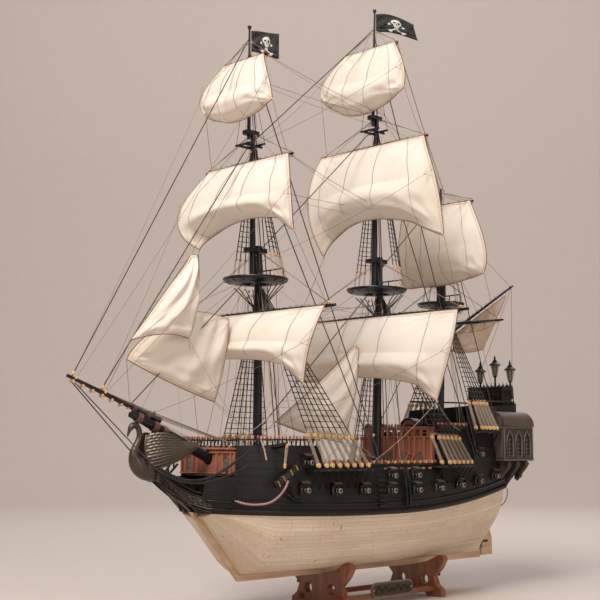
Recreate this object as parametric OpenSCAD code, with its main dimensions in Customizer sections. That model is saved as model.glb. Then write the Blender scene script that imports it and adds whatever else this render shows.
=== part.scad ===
// Three-masted model sailing ship on a cradle stand.
// +X is towards the bow, +Y is to port, +Z is up. The origin is on the table, under the model's middle.

/* [Hull] */
// Forward end of the flat keel
keel_fore_x = 129; // [120:1:135]
// After face of the sternpost
stern_post_x = -293; // [-298:1:-288]
// Underside of the keel above the table
keel_z = 37; // [34:1:42]
// Greatest half-breadth of the hull at the wale
beam_half = 72; // [66:1:78]
// Half-breadth of the hull at the sternpost
stern_half = 44; // [40:1:48]
// Thickness of the bottom planking
plank_t = 2.2; // [1.8:0.1:2.6]
// Thickness of the black topside walls
side_t = 3; // [2.4:0.1:3.4]

/* [Masts] */
// Height of the foremast truck
fore_truck_z = 651; // [640:1:660]
// Height of the mainmast truck
main_truck_z = 726; // [718:1:732]
// Height of the mizzen mast head
mizzen_truck_z = 515; // [505:1:525]
// Diameter of the lower masts at the deck
lower_mast_d = 11; // [9:0.5:12]
// Diameter of the topmasts at the heel
topmast_d = 7; // [6:0.5:8]
// Diameter of the topgallant masts at the heel
topgallant_d = 4.4; // [3.6:0.2:5]

/* [Yards] */
// Half length of the main yard
main_yard_half = 145; // [138:1:150]
// Half length of the fore yard
fore_yard_half = 128; // [120:1:134]
// Half length of the crossjack yard
crossjack_half = 103; // [96:1:110]

/* [Stand] */
// Half width of each cradle board
cradle_half = 48; // [44:1:54]
// Thickness of the cradle boards
cradle_t = 9; // [7:0.5:11]
// Distance between the two cradle boards
cradle_gap = 164; // [150:1:170]

/* [Rudder] */
// Length of the rudder blade fore and aft at the heel
rudder_w = 24; // [18:1:28]

/* [Hidden] */
$fn = 24;
eps = 0.3;

keel_half = 2.5;
keel_h = 7;
rabbet_z = keel_z + keel_h + 0.4;
stem_slope = 1.136;
hull_end_x = 187;
bow_end_x = 197;
bow_top_x = 206;
mid_fore_x = 40;
mid_aft_x = -60;
beak_x = 172;
waist_fore_x = 70;
waist_aft_x = -138;
poop_x = -214;
stern_x = -338;
counter_x = -296;
waist_deck_z = 150;
forecastle_z = 173;
quarter_z = 172;
poop_deck_z = 198;
deck_t = 1.6;
fore_x = 101;
main_x = -95;
mizzen_x = -217;
rake_z = 180;
fore_rake = 0.1;
main_rake = 1.9;
mizzen_rake = 3;
fore_top_z = 357;
main_top_z = 364;
mizzen_top_z = 357;
rope_r = 0.45;
sail_t = 0.9;

black = [0.10, 0.09, 0.09];
stain = [0.59, 0.33, 0.21];
cream = [0.90, 0.84, 0.77];
pale_wood = [0.84, 0.71, 0.57];
red_brown = [0.65, 0.37, 0.31];
bronze = [0.38, 0.35, 0.27];
boxwood = [0.88, 0.70, 0.48];
rope_brown = [0.20, 0.15, 0.13];
rusty_pink = [0.62, 0.45, 0.45];

function lerp(a, b, t) = a + (b - a) * t;
function unit(t) = min(1, max(0, t));
function wale_z(x) = x > -40 ? lerp(104, 111, pow(unit((x + 40) / 235), 2))
  : lerp(104, 126, pow(unit((-40 - x) / 253), 2));
function wale_half(x) = x > mid_fore_x
  ? beam_half * pow(1 - pow((x - mid_fore_x) / (bow_end_x - mid_fore_x), 2.4), 0.6)
  : x < mid_aft_x
  ? lerp(beam_half, stern_half, pow(unit((mid_aft_x - x) / (mid_aft_x - stern_post_x)), 1.6))
  : beam_half;
function rail_half(x) = x > mid_fore_x
  ? (beam_half - 6) * pow(1 - pow((x - mid_fore_x) / (bow_top_x - mid_fore_x), 3), 0.6)
  : wale_half(max(x, counter_x)) - 6 - 6 * unit((mid_aft_x - x) / (mid_aft_x - stern_x));
function rail_z(x) = x > beak_x ? 148 : x > waist_fore_x ? 180 : x > waist_aft_x ? 158
  : x > poop_x ? 198 : 226 + 0.08 * (poop_x - x);
function keel_top(x) = min(rabbet_z + max(0, x - keel_fore_x) * stem_slope, wale_z(x) - 5);
function fullness(x) = x > mid_fore_x ? 0.75 + pow(unit((x - mid_fore_x) / 155), 1.5)
  : 0.75 + 2.25 * pow(unit((mid_aft_x - x) / (mid_aft_x - stern_post_x)), 1.8);

// One point of the bottom's cross-section, where s runs from 0 at the keel to 1 at the wale.
function bottom_y(x, s, inset) = keel_half
  + (wale_half(x) - inset - keel_half) * pow(sin(90 * s), fullness(x));
function bottom_z(x, s, inset) = let(low = min(keel_top(x) + inset, wale_z(x) - 2))
  low + (wale_z(x) - low) * (1 - cos(90 * s));
bottom_steps = 10;
function bottom_half(x, inset) = [for (i = [0 : bottom_steps]) let(s = i / bottom_steps)
  [bottom_y(x, s, inset), bottom_z(x, s, inset)]];
function flip_y(pts) = [for (p = pts) [-p[0], p[1]]];
function reverse(a) = [for (i = [len(a) - 1 : -1 : 0]) a[i]];
function garboard(x, inset) = [[eps, bottom_z(x, 0, inset)]];
function bottom_ring(x) = [for (p = concat(garboard(x, 0), bottom_half(x, 0),
  reverse(bottom_half(x, plank_t)), garboard(x, plank_t))) [x, p[0], p[1]]];

// One point of a topside's cross-section; s runs from 0 at the wale to 1 at the rail.
function counter_drop(x) = 28 * pow(unit((counter_x - x) / (counter_x - stern_x)), 0.8);
function side_low(x) = wale_z(max(x, counter_x)) + 0.3 + counter_drop(x);
function side_low_half(x) = lerp(wale_half(max(x, counter_x)), rail_half(x), counter_drop(x) / 100);
function side_y(x, s) = lerp(side_low_half(x), rail_half(x), s) + 2.5 * sin(180 * s);
function side_point(x, z) = side_y(x, unit((z - side_low(x)) / (rail_z(x) - side_low(x))));
side_steps_n = 5;
function side_ring(x, top) = concat(
  [for (i = [0 : side_steps_n]) let(s = i / side_steps_n) [x, side_y(x, s), lerp(side_low(x), top, s)]],
  [for (i = [side_steps_n : -1 : 0]) let(s = i / side_steps_n)
    [x, max(side_y(x, s) - side_t, keel_half + 0.2), lerp(side_low(x), top, s)]]);
function deck_half(x, z) = side_point(x, z) - side_t - eps;

function mast_at(foot_x, rake, z) = foot_x - tan(rake) * (z - rake_z);
function fore_at(z) = [mast_at(fore_x, fore_rake, z), 0, z];
function main_at(z) = [mast_at(main_x, main_rake, z), 0, z];
function mizzen_at(z) = [mast_at(mizzen_x, mizzen_rake, z), 0, z];

// A closed skin over rings of equal point counts, with flat end caps.
module skin(rings) {
  n = len(rings[0]);
  m = len(rings);
  polyhedron(points = [for (r = rings, p = r) p],
    faces = concat(
      [for (k = [0 : m - 2], j = [0 : n - 1])
        [k * n + j, (k + 1) * n + j, (k + 1) * n + (j + 1) % n]],
      [for (k = [0 : m - 2], j = [0 : n - 1])
        [k * n + j, (k + 1) * n + (j + 1) % n, k * n + (j + 1) % n]],
      [[for (j = [0 : n - 1]) j]], [[for (j = [n - 1 : -1 : 0]) (m - 1) * n + j]]));
}

// A straight round bar between two points.
module rod(a, b, d1, d2 = -1) {
  v = b - a;
  translate(a) rotate([0, atan2(norm([v[0], v[1]]), v[2]), atan2(v[1], v[0])])
    cylinder(h = norm(v), d1 = d1, d2 = d2 < 0 ? d1 : d2);
}

module both_sides() {
  children();
  mirror([0, 1, 0]) children();
}

// A flat piece whose outline lies in the X-Z plane, centred on Y = 0.
module fore_aft_plate(outline, t) {
  translate([0, t / 2, 0]) rotate([90, 0, 0]) linear_extrude(t) polygon(outline);
}

// A flat piece whose outline lies in the Y-Z plane, from x towards the bow.
module cross_plate(x, t) {
  translate([x, 0, 0]) rotate([90, 0, 90]) linear_extrude(t) children();
}

// ---- stand ----
cradle_base_half = cradle_half - 4;
function cradle_outline() = let(h = cradle_half, b = cradle_base_half) [
  [-b, 0], [-b + 22, 0], [-b + 26, 6], [b - 26, 6], [b - 22, 0], [b, 0], [b, 8], [b - 8, 14], [b - 12, 24],
  [h - 6, 34], [h, 44], [h - 1, 48], [h - 6, 50], [h - 14, 46.5], [h - 24, 42], [h - 36, keel_z + 2],
  [keel_half + 0.4, keel_z], [-keel_half - 0.4, keel_z], [-h + 36, keel_z + 2], [-h + 24, 42],
  [-h + 14, 46.5], [-h + 6, 50], [-h + 1, 48], [-h, 44], [-h + 6, 34], [-b + 12, 24], [-b + 8, 14],
  [-b, 8]];

module cradle(x) {
  translate([x - cradle_t / 2, 0, 0]) difference() {
    rotate([90, 0, 90]) linear_extrude(cradle_t) polygon(cradle_outline());
    for (side = [-1, 1]) translate([-1, side * 18, 20]) rotate([0, 90, 0])
      cylinder(h = cradle_t + 2, r = 6);
    for (side = [-1, 1]) translate([-1, side * rail_y - rail_t / 2 - 0.05, rail_low])
      cube([cradle_t + 2, rail_t + 0.1, rail_h]);
  }
}
rail_y = 30;
rail_t = 5;
rail_low = 7;
rail_h = 6;
module stand_cradle_fore() { color(stain) cradle(0); }
module stand_cradle_aft() { color(stain) cradle(-cradle_gap); }
module stand_rails() {
  color(stain) for (side = [-1, 1])
    translate([-cradle_gap - cradle_t, side * rail_y - rail_t / 2, rail_low])
      cube([cradle_gap + 2 * cradle_t, rail_t, rail_h]);
}
module nameplate() {
  color(bronze) translate([-cradle_gap / 2, rail_y + rail_t / 2, 16]) rotate([-90, 0, 0]) difference() {
    linear_extrude(2.4) hull() for (side = [-1, 1]) translate([side * 28, 0]) circle(d = 17);
    translate([0, 0, 1.4]) linear_extrude(2) hull() for (side = [-1, 1])
      translate([side * 28, 0]) circle(d = 13);
  }
}

// ---- hull ----
module keel() {
  stem_top = 112;
  color(pale_wood) {
    fore_aft_plate([[stern_post_x, keel_z], [keel_fore_x, keel_z],
      [keel_fore_x + (stem_top - keel_z) / stem_slope, stem_top],
      [keel_fore_x + (stem_top - keel_z) / stem_slope - 6, stem_top],
      [keel_fore_x, keel_z + keel_h], [stern_post_x + 4, keel_z + keel_h],
      [stern_post_x + 4, 127], [stern_post_x, 127]], 2 * keel_half);
  }
}

bulkhead_x = [for (i = [0 : 9]) -270 + i * 45];
module hull_bulkheads() {
  color(pale_wood) for (x = bulkhead_x) difference() {
    cross_plate(x, 3) polygon(let(half = bottom_half(x, plank_t + 1.4))
      concat(half, [[deck_half(x, waist_deck_z) - 3, waist_deck_z - 6]],
        [[-deck_half(x, waist_deck_z) + 3, waist_deck_z - 6]], reverse(flip_y(half))));
    for (mast = [[main_x, lower_mast_d], [fore_x, lower_mast_d], [mizzen_x, lower_mast_d]])
      translate([mast[0], 0, 40]) cylinder(h = 120, d = mast[1] + 8);
    translate([x - 5, -20, 70]) cube([10, 40, 40]);
  }
}

bottom_x = concat([for (i = [0 : 17]) stern_post_x + 4.4 + i * 23.4],
  [120, 129, 140, 152, 163, 173, 181, hull_end_x]);
module lower_planking() { color(pale_wood) both_sides() skin([for (x = bottom_x) bottom_ring(x)]); }

side_x = [stern_x + 3, -320, -306, -296, -280, -262, -244, -226, poop_x - 1, poop_x + 1, -200, -180,
  -160, waist_aft_x - 1, waist_aft_x + 1, -115, -90, -60, -30, 0, 20, 40, 56, waist_fore_x - 1,
  waist_fore_x + 1, 90, 110, 130, 150, 162, beak_x - 0.5, beak_x + 0.5, 180, 186, 191, 195];
module topsides() { color(black) both_sides() skin([for (x = side_x) side_ring(x, rail_z(x))]); }

// A rubbing band that follows the topside between two heights above the wale.
function band_ring(x, low, high, proud) = let(z0 = wale_z(max(x, counter_x)) + low, z1 = z0 + high - low) [
  [x, side_point(x, z0) + 0.25, z0], [x, side_point(x, z0) + proud, z0 + 0.5],
  [x, side_point(x, z1) + proud, z1 - 0.5], [x, side_point(x, z1) + 0.25, z1]];
band_x = [-292, -270, -240, -210, -180, -150, -120, -90, -60, -30, 0, 30, 60, 90, 115, 140, 155, 170,
  180, 187, 192];
module band(low, high, proud) { both_sides() skin([for (x = band_x) band_ring(x, low, high, proud)]); }
module wales() {
  color(black) {
    band(0.5, 6, 2.6);
    band(11, 14, 2);
  }
}

function deck_edge(x0, x1, z, n) = [for (i = [0 : n]) let(x = lerp(x0, x1, i / n)) [x, deck_half(x, z)]];
module deck_plate(x0, x1, z, n = 8) {
  edge = deck_edge(x0, x1, z, n);
  translate([0, 0, z - deck_t]) linear_extrude(deck_t)
    polygon(concat(edge, reverse([for (p = edge) [p[0], -p[1]]])));
}
module mast_hole(p, d) { translate([p[0], 0, p[2] - 20]) cylinder(h = 40, d = d + 1.2); }
module main_deck() {
  color(pale_wood) difference() {
    deck_plate(waist_aft_x + 6, beak_x - 4, waist_deck_z, 14);
    mast_hole(main_at(waist_deck_z), lower_mast_d);
    mast_hole(fore_at(waist_deck_z), lower_mast_d);
  }
}
module forecastle_deck() {
  color(pale_wood) difference() {
    deck_plate(waist_fore_x + 2, beak_x - 4, forecastle_z);
    mast_hole(fore_at(forecastle_z), lower_mast_d);
    rod([150, 0, 158], [200, 0, 180], 14);
  }
}
module after_decks() {
  color(pale_wood) {
    difference() {
      deck_plate(stern_x + 8, waist_aft_x - 3, quarter_z, 12);
      mast_hole(mizzen_at(quarter_z), lower_mast_d);
    }
    deck_plate(stern_x + 8, poop_x - 18, poop_deck_z);
  }
}
module hatch_gratings() {
  color(stain) for (x = [-50, 0, 40]) translate([x - 12, -14, waist_deck_z]) difference() {
    cube([24, 28, 3]);
    for (i = [0 : 3], j = [0 : 4]) translate([2.4 + i * 5.2, 2.2 + j * 5, 1]) cube([3.4, 3.4, 3]);
  }
}

// Red-brown front of the forecastle, with arched doors and a hole for the bowsprit.
module arch(w, h) {
  square([w, h - w / 2]);
  translate([w / 2, h - w / 2]) circle(d = w);
}
bulkhead_t = 3;
module beakhead_bulkhead() {
  y_max = deck_half(beak_x - 4, 165) - 1;
  color(red_brown) difference() {
    cross_plate(beak_x - 3.5, bulkhead_t) translate([-y_max, waist_deck_z + 0.2])
      square([2 * y_max, forecastle_z - waist_deck_z + 5]);
    for (side = [-1, 1]) translate([0, side * 30 - 5, 0]) cross_plate(beak_x - 1.5, 3)
      translate([0, waist_deck_z + 2]) arch(10, 17);
    rod([150, 0, 158], [200, 0, 180], 14);
  }
}
module quarterdeck_bulkhead() {
  y_max = deck_half(waist_aft_x + 3, 156) - 2;
  color(red_brown) difference() {
    cross_plate(waist_aft_x + 1.5, bulkhead_t) translate([-y_max, waist_deck_z + 0.2])
      square([2 * y_max, 52]);
    for (y = [-36, -12, 12, 36]) translate([0, y - 5, 0]) cross_plate(waist_aft_x + 3.2, 3)
      translate([0, waist_deck_z + 3]) arch(10, 20);
    for (i = [0 : 8]) cross_plate(waist_aft_x, 6) translate([-46 + i * 10.5, 192])
      square([7.5, 7]);
  }
}

// ---- stern ----
stern_half_top = rail_half(stern_x);
locker_half = 28;
locker_top = 256.9;
locker_len = 21.6;
stern_outline = [[-stern_half_top, 152], [stern_half_top, 152], [stern_half_top, 236],
  [locker_half + 1, 238], [locker_half, locker_top], [-locker_half, locker_top],
  [-locker_half - 1, 238], [-stern_half_top, 236]];
// Flat stern with five windows, and the panelled locker that carries the lanterns.
module stern_board() {
  color(black) {
    difference() {
      cross_plate(stern_x - 1, 3.4) polygon(stern_outline);
      for (y = [-24, -12, 0, 12, 24]) translate([0, y - 4, 0])
        cross_plate(stern_x - 2, 3) translate([0, 170]) arch(8, 26);
    }
    difference() {
      translate([stern_x + 2.39, -locker_half, poop_deck_z + 0.1])
        cube([locker_len, 2 * locker_half, locker_top - poop_deck_z - 0.1]);
      for (side = [-1, 1]) translate([0, side * locker_half / 2 - 12, 0])
        cross_plate(stern_x + locker_len + 1.6, 3) translate([0, 224]) square([24, 29]);
    }
  }
}
lantern_foot_z = locker_top + 2;
module lantern(y, post) {
  translate([stern_x + 0.5, y, lantern_foot_z]) {
    cylinder(h = post, d = 2.4);
    translate([0, 0, post]) rotate_extrude($fn = 18)
      polygon([[0, 0], [2.6, 0], [5.6, 15], [6.4, 15.5], [6, 17], [3.2, 21], [3.2, 22.5], [1, 25],
        [1, 28], [0, 29]]);
    translate([0, 0, -2]) rotate_extrude($fn = 18)
      polygon([[0, 0], [3.4, 0], [3.4, 2], [1.2, 6], [0, 6]]);
  }
}
module stern_lanterns() {
  color(black) {
    lantern(0, 14);
    both_sides() lantern(24.5, 6.5);
  }
}
gallery_x0 = -334;
gallery_len = 62;
module gallery() {
  y_in = 42.5;
  color(black) difference() {
    union() {
      translate([gallery_x0, y_in, 161]) cube([gallery_len, 17, 44]);
      translate([gallery_x0 - 1, y_in, 205]) rotate([90, 0, 90]) linear_extrude(gallery_len + 2)
        intersection() {
          circle(r = 18.5);
          square(19);
        }
      for (i = [0 : 2]) translate([gallery_x0 + 10 + i * 19, y_in, 161]) rotate([90, 180, 90])
        linear_extrude(7) polygon([[0, 0], [-16, 0], [-13, 8], [-6, 18], [-2, 24], [0, 24]]);
    }
    for (i = [0 : 2]) translate([gallery_x0 + 4.5 + i * 19, y_in + 21, 166]) rotate([90, 0, 0])
      linear_extrude(6) arch(14, 34);
    translate([0, y_in + 2, 0]) cross_plate(gallery_x0 + gallery_len - 1.6, 5)
      translate([0, 165]) square([13, 36]);
  }
}
module quarter_galleries() { both_sides() gallery(); }

// ---- bow ----
module head_knee() {
  color(black) fore_aft_plate([[187, 113], [196, 113], [243, 149], [254, 158], [258, 166], [250, 168],
    [226, 152], [206, 144], [196, 142], [187, 142]], 4.6);
}
function head_rail_point(t, drop) = [lerp(248, 166, t), lerp(5, 57, pow(t, 0.75)),
  lerp(162 - drop * 0.3, 174 - drop, t) - (22 - drop * 0.4) * sin(180 * pow(t, 0.85))];
head_rail_n = 12;
module head_rail(drop) {
  cord([for (i = [0 : head_rail_n]) head_rail_point(i / head_rail_n, drop)], 2.6);
}
module head_rails() {
  color(black) both_sides() {
    head_rail(0);
    head_rail(14);
    for (t = [0.15 : 0.15 : 0.9])
      rod(head_rail_point(t, 0) - [0, 0, 1.6], head_rail_point(t, 14) + [0, 0, 1.6], 2);
  }
}

// Long-necked bird with raised wings: body, curved neck, head with its bill, and one wing on each side.
neck_n = 14;
function neck_path(t) = [267 + 4 * sin(400 * t) - 3 * t, 0, 167.4 + 27 * t];
function wing_ring(t) = let(x = 252 - 50 * t, y = 7.5 + 18 * t, z = 166 + 12 * t)
  let(up = lerp(24, 7, t * t), dn = lerp(8, 2, t))
  [[x, y, z - dn], [x, y, z + up], [x, y + 3, z + up], [x, y + 3, z - dn]];
module swan_figurehead() {
  color(bronze) {
    hull() {
      translate([262, 0, 160]) sphere(d = 14);
      translate([250, 0, 157]) sphere(d = 10);
      translate([254, 0, 152]) sphere(d = 6);
    }
    skin([for (i = [0 : neck_n]) let(t = i / neck_n, r = lerp(4.2, 2.2, t)) [for (a = [0 : 30 : 330])
      neck_path(t) + [r * cos(a), r * sin(a), 0]]]);
    hull() {
      translate([266.5, 0, 198]) sphere(d = 6.4);
      translate([270, 0, 196]) sphere(d = 4.4);
      translate([276, 0, 189]) sphere(d = 1.8);
    }
    both_sides() skin([for (i = [0 : 6]) wing_ring(i / 6)]);
  }
}

// ---- guns, steps and rails ----
port_x = [for (i = [0 : 8]) 100 - i * 45];
function port_z(x) = wale_z(x) + 27 - 6 * unit(-x / 300);
upper_ports = [[94, 162], [-39, 146.5], [-82, 146.5], [-222, 170]];
function port_at(x, z) = [x, side_point(x, z), z];
gun_ports = concat([for (x = port_x) [x, port_z(x)]], [for (p = upper_ports) p]);
module gunport_frames() {
  color(black) both_sides() for (p = gun_ports)
    translate(port_at(p[0], p[1]) + [0, 0.3, 0]) difference() {
      translate([-5.5, 0, -5]) cube([11, 2, 10.5]);
      translate([-4, -1, -3.5]) cube([8, 4, 7]);
    }
}
module cannons() {
  color(bronze) both_sides() for (p = gun_ports) translate(port_at(p[0], p[1]) + [0, 0.6, 0])
    rotate([-90, 0, 0]) rotate_extrude()
      polygon([[1.1, 0], [2.6, 0], [2.2, 5], [2.2, 7], [2.9, 8], [2.9, 10], [1.1, 10]]);
}
module step_row(x) {
  for (i = [0 : 6]) let(z = wale_z(x) + 9 + i * 5.6)
    translate([x - 6, side_point(x, z) + 2, z]) cube([12, 2.4, 1.8]);
}
module fender(x) {
  skin([for (i = [0 : 6]) let(z = wale_z(x) + 8 + i * 7, y = side_point(x, z) + 2.2)
    [[x - 1.3, y, z], [x + 1.3, y, z], [x + 1.3, y + 2.6, z], [x - 1.3, y + 2.6, z]]]);
}
module side_steps() {
  color(black) both_sides() {
    step_row(-19);
    for (x = [-60, -66]) fender(x);
  }
}
module rail_strip(x0, x1, lift) {
  n = 8;
  skin([for (i = [0 : n]) let(x = lerp(x0, x1, i / n), y = rail_half(x), z = rail_z((x0 + x1) / 2) + lift)
    [[x, y - 4, z], [x, y + 1.2, z], [x, y + 1.2, z + 1.8], [x, y - 4, z + 1.8]]]);
}
module balusters(x0, x1, n, h) {
  for (i = [0 : n]) let(x = lerp(x0, x1, i / n))
    translate([x, rail_half(x) - 1.5, rail_z(x) + 0.1]) cylinder(h = h, d = 1.8);
}
module cap_rails() {
  color(black) both_sides() {
    rail_strip(waist_fore_x + 2, beak_x - 1, 5);
    balusters(waist_fore_x + 4, beak_x - 4, 16, 4.7);
    rail_strip(waist_aft_x + 2, waist_fore_x - 2, 0.2);
    rail_strip(poop_x + 2, waist_aft_x - 2, 5);
    balusters(poop_x + 4, waist_aft_x - 4, 11, 4.7);
    rail_strip(stern_x + 4, poop_x - 2, 6);
  }
}

// ---- channels, deadeyes and shrouds ----
// Each entry is one shroud: its place along the hull, its channel's height and its upper deadeye's.
fore_gang = [for (i = [0 : 7]) [lerp(8, 88, i / 7), 152.5, 187]];
main_gang = [for (i = [0 : 6]) [lerp(-188, -128, i / 6), 154.5, 186]];
mizzen_gang = [for (i = [0 : 5]) [lerp(-262, -212, i / 5), 196, 229]];
channel_w = 13;
function gang_low(g) = [g[0], side_point(g[0], g[1]) + channel_w - 1.5, g[1] + 6.5];
function gang_dir(g, head) = let(v = head - gang_low(g)) v / norm(v);
function gang_high(g, head) = gang_low(g) + gang_dir(g, head) * (g[2] - g[1]);
function gang_head(p, n) = [for (i = [0 : n - 1]) p + [0, 5, -3 - 2.2 * i]];
gangs = [[fore_gang, gang_head(fore_at(fore_top_z), 8)], [main_gang, gang_head(main_at(main_top_z), 7)],
  [mizzen_gang, gang_head(mizzen_at(mizzen_top_z), 6)]];

module channel(g) {
  x0 = g[0][0] - 8;
  x1 = g[len(g) - 1][0] + 8;
  z = g[0][1];
  n = 6;
  skin([for (i = [0 : n]) let(x = lerp(x0, x1, i / n), y = side_point(x, z) + 0.3)
    [[x, y, z], [x, y + channel_w, z], [x, y + channel_w, z + 2.4], [x, y, z + 2.4]]]);
  for (p = g) rod([p[0], side_point(p[0], z) + channel_w - 2, z - 0.8],
    [p[0], side_point(p[0], z - 14) + 1.2, z - 14], 1.1);
}
module channels() { color(black) both_sides() for (g = gangs) channel(g[0]); }
module deadeye(p) { translate(p) rotate([90, 0, 0]) cylinder(h = 3, d = 5.4, center = true); }
module deadeyes() {
  color(boxwood) both_sides() for (g = gangs, i = [0 : len(g[0]) - 1]) {
    deadeye(gang_low(g[0][i]));
    deadeye(gang_high(g[0][i], g[1][i]));
  }
}
module shroud(p, head) {
  way = gang_dir(p, head);
  rod(gang_high(p, head) + way * 3, head, 2 * rope_r);
  for (dx = [-1, 1])
    rod(gang_low(p) + way * 3 + [dx, 0, 0], gang_high(p, head) - way * 3 + [dx, 0, 0], 2 * rope_r);
}
module shrouds() {
  color(rope_brown) both_sides() for (g = gangs, i = [0 : len(g[0]) - 1]) shroud(g[0][i], g[1][i]);
}

// ---- masts, tops and caps ----
module lower_masts() {
  color(black) {
    rod(fore_at(100), fore_at(400), lower_mast_d, lower_mast_d * 0.75);
    rod(main_at(100), main_at(410), lower_mast_d, lower_mast_d * 0.75);
    rod(mizzen_at(120), mizzen_at(398), lower_mast_d * 0.8, lower_mast_d * 0.6);
  }
}
doubling = 9;
function ahead(p) = p + [doubling, 0, 0];
module topmasts() {
  color(black) {
    rod(ahead(fore_at(364)), ahead(fore_at(530)), topmast_d, topmast_d * 0.7);
    rod(ahead(main_at(371)), ahead(main_at(588)), topmast_d, topmast_d * 0.7);
    rod(ahead(mizzen_at(364)), ahead(mizzen_at(mizzen_truck_z)), topmast_d * 0.8, topmast_d * 0.45);
  }
}
module topgallant_masts() {
  color(black) {
    rod(ahead(fore_at(519)) + [6.5, 0, 0], ahead(fore_at(fore_truck_z - 4)) + [6.5, 0, 0],
      topgallant_d, topgallant_d * 0.5);
    rod(ahead(main_at(574)) + [6.5, 0, 0], ahead(main_at(main_truck_z - 4)) + [6.5, 0, 0],
      topgallant_d, topgallant_d * 0.5);
    translate(ahead(fore_at(fore_truck_z - 4)) + [6.5, 0, 0]) cylinder(h = 3, d = 4.5);
    translate(ahead(main_at(main_truck_z - 4)) + [6.5, 0, 0]) cylinder(h = 3, d = 4.5);
  }
}
module mast_top(p, d, hole) {
  translate(p) difference() {
    union() {
      translate([4, 0, 0]) rotate_extrude()
        polygon([[0, 0], [d * 0.32, 0], [d / 2, 3], [d / 2, 6], [0, 6]]);
    }
    translate([0, 0, -1]) cylinder(h = 9, d = hole + 0.8);
    translate([4, 0, 3]) difference() {
      cylinder(h = 5, d = d - 4);
      cylinder(h = 3, d = 20);
    }
  }
}
module mast_tops() {
  color(black) {
    mast_top(fore_at(fore_top_z), 71, lower_mast_d * 0.8);
    mast_top(main_at(main_top_z), 72, lower_mast_d * 0.8);
    mast_top(mizzen_at(mizzen_top_z), 59, lower_mast_d * 0.66);
  }
}
// A cap joins a mast head to the heel of the mast ahead of it, with crosstrees below.
module cap(p, gap, d1, d2, w) {
  translate(p + [-w / 2 - 1, -w / 2, 0]) difference() {
    cube([gap + w + 2, w, 5]);
    translate([w / 2 + 1, w / 2, -1]) cylinder(h = 7, d = d1 + 0.5);
    translate([w / 2 + 1 + gap, w / 2, -1]) cylinder(h = 7, d = d2 + 0.5);
  }
}
module crosstrees(p, d) {
  for (dx = [-5, 11]) translate(p + [dx, -15, 0]) cube([2.4, 30, 2]);
  for (dy = [-d, d - 2]) translate(p + [-8, dy, -2.2]) cube([24, 2, 2.2]);
}
module mast_caps() {
  color(black) {
    cap(fore_at(392), doubling, 8.6, 7, 13);
    cap(main_at(402), doubling, 8.6, 7, 13);
    cap(mizzen_at(391), doubling, 7, 5.8, 11);
    cap(ahead(fore_at(524)), 6.5, 5.2, 4.5, 9);
    cap(ahead(main_at(582)), 6.5, 5.2, 4.5, 9);
    crosstrees(ahead(fore_at(512)), 7);
    crosstrees(ahead(main_at(567)), 7);
  }
}
sprit_foot = [158, 0, 161.5];
sprit_end = [272, 0, 211.5];
boom_foot = [236, 0, 205];
boom_end = [348.6, 0, 246];
module bowsprit() {
  color(black) {
    rod(sprit_foot, sprit_end, 12, 9);
    rod([246, 0, 189.5], [243, 0, 214], 2);
  }
}
module jib_boom() { color(black) rod(boom_foot, boom_end, 6.6, 3.4); }

// ---- yards and gaff ----
yard_ahead = 11;
fore_yard = fore_at(323) + [yard_ahead, 0, 0];
main_yard = main_at(334) + [yard_ahead, 0, 0];
crossjack = mizzen_at(334) + [yard_ahead, 0, 0];
fore_topsail_yard = fore_at(491) + [doubling + 7, 0, 0];
main_topsail_yard = main_at(546) + [doubling + 7, 0, 0];
mizzen_topsail_yard = mizzen_at(490) + [doubling + 6, 0, 0];
fore_topgallant_yard = fore_at(608) + [doubling + 12, 0, 0];
main_topgallant_yard = main_at(671) + [doubling + 12, 0, 0];
module yard(p, half, d) {
  both_sides() {
    translate(p) rotate([-90, 0, 0]) cylinder(h = half * 0.3, d = d);
    translate(p + [0, half * 0.3 - 0.01, 0]) rotate([-90, 0, 0])
      cylinder(h = half * 0.7 + 0.01, d1 = d, d2 = d * 0.5);
  }
}
module lower_yards() {
  color(black) {
    yard(fore_yard, fore_yard_half, 6);
    yard(main_yard, main_yard_half, 6.4);
    yard(crossjack, crossjack_half, 4.6);
  }
}
module topsail_yards() {
  color(black) {
    yard(fore_topsail_yard, 71, 4.6);
    yard(main_topsail_yard, 88, 5);
    yard(mizzen_topsail_yard, 58, 3.8);
  }
}
module topgallant_yards() {
  color(black) {
    yard(fore_topgallant_yard, 37, 3.2);
    yard(main_topgallant_yard, 44, 3.4);
  }
}
gaff_throat = [-232, 2, 322];
gaff_end = [-348.46, 24, 396];
module gaff() { color(black) rod(gaff_throat, gaff_end, 4, 2.6); }

// ---- standing stays ----
stay_list = [
  [fore_at(636) + [15.5, 0, 0], [343, 0, 246]],
  [fore_at(516) + [13, 0, 0], [309, 0, 234]],
  [fore_at(372) + [5, 0, 0], [278, 0, 216]],
  [main_at(700) + [15.5, 0, 0], fore_at(518) + [8, 0, 0]],
  [main_at(572) + [13, 0, 0], fore_at(388) + [6, 0, 0]],
  [main_at(376) + [5, 0, 0], [116, 0, 182]],
  [mizzen_at(506) + [10, 0, 0], main_at(398) + [-5, 0, 0]],
  [mizzen_at(370) + [4, 0, 0], main_at(190) + [8, 0, 0]]];
backstay_list = [
  [fore_at(514) + [9, 0, 0], [-6, 80, 160]], [fore_at(620) + [15.5, 0, 0], [-12, 80, 160]],
  [main_at(570) + [9, 0, 0], [-194, 74, 162]], [main_at(690) + [15.5, 0, 0], [-200, 73, 162]],
  [mizzen_at(500) + [9, 0, 0], [-268, 52, 203]],
  [[342, 2, 240], [197, 12, 113]]];
module stays() {
  color(rope_brown) {
    for (s = stay_list) rod(s[0], s[1], 2 * rope_r);
    both_sides() for (s = backstay_list) rod(s[0], s[1], 1.6 * rope_r);
  }
}

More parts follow.
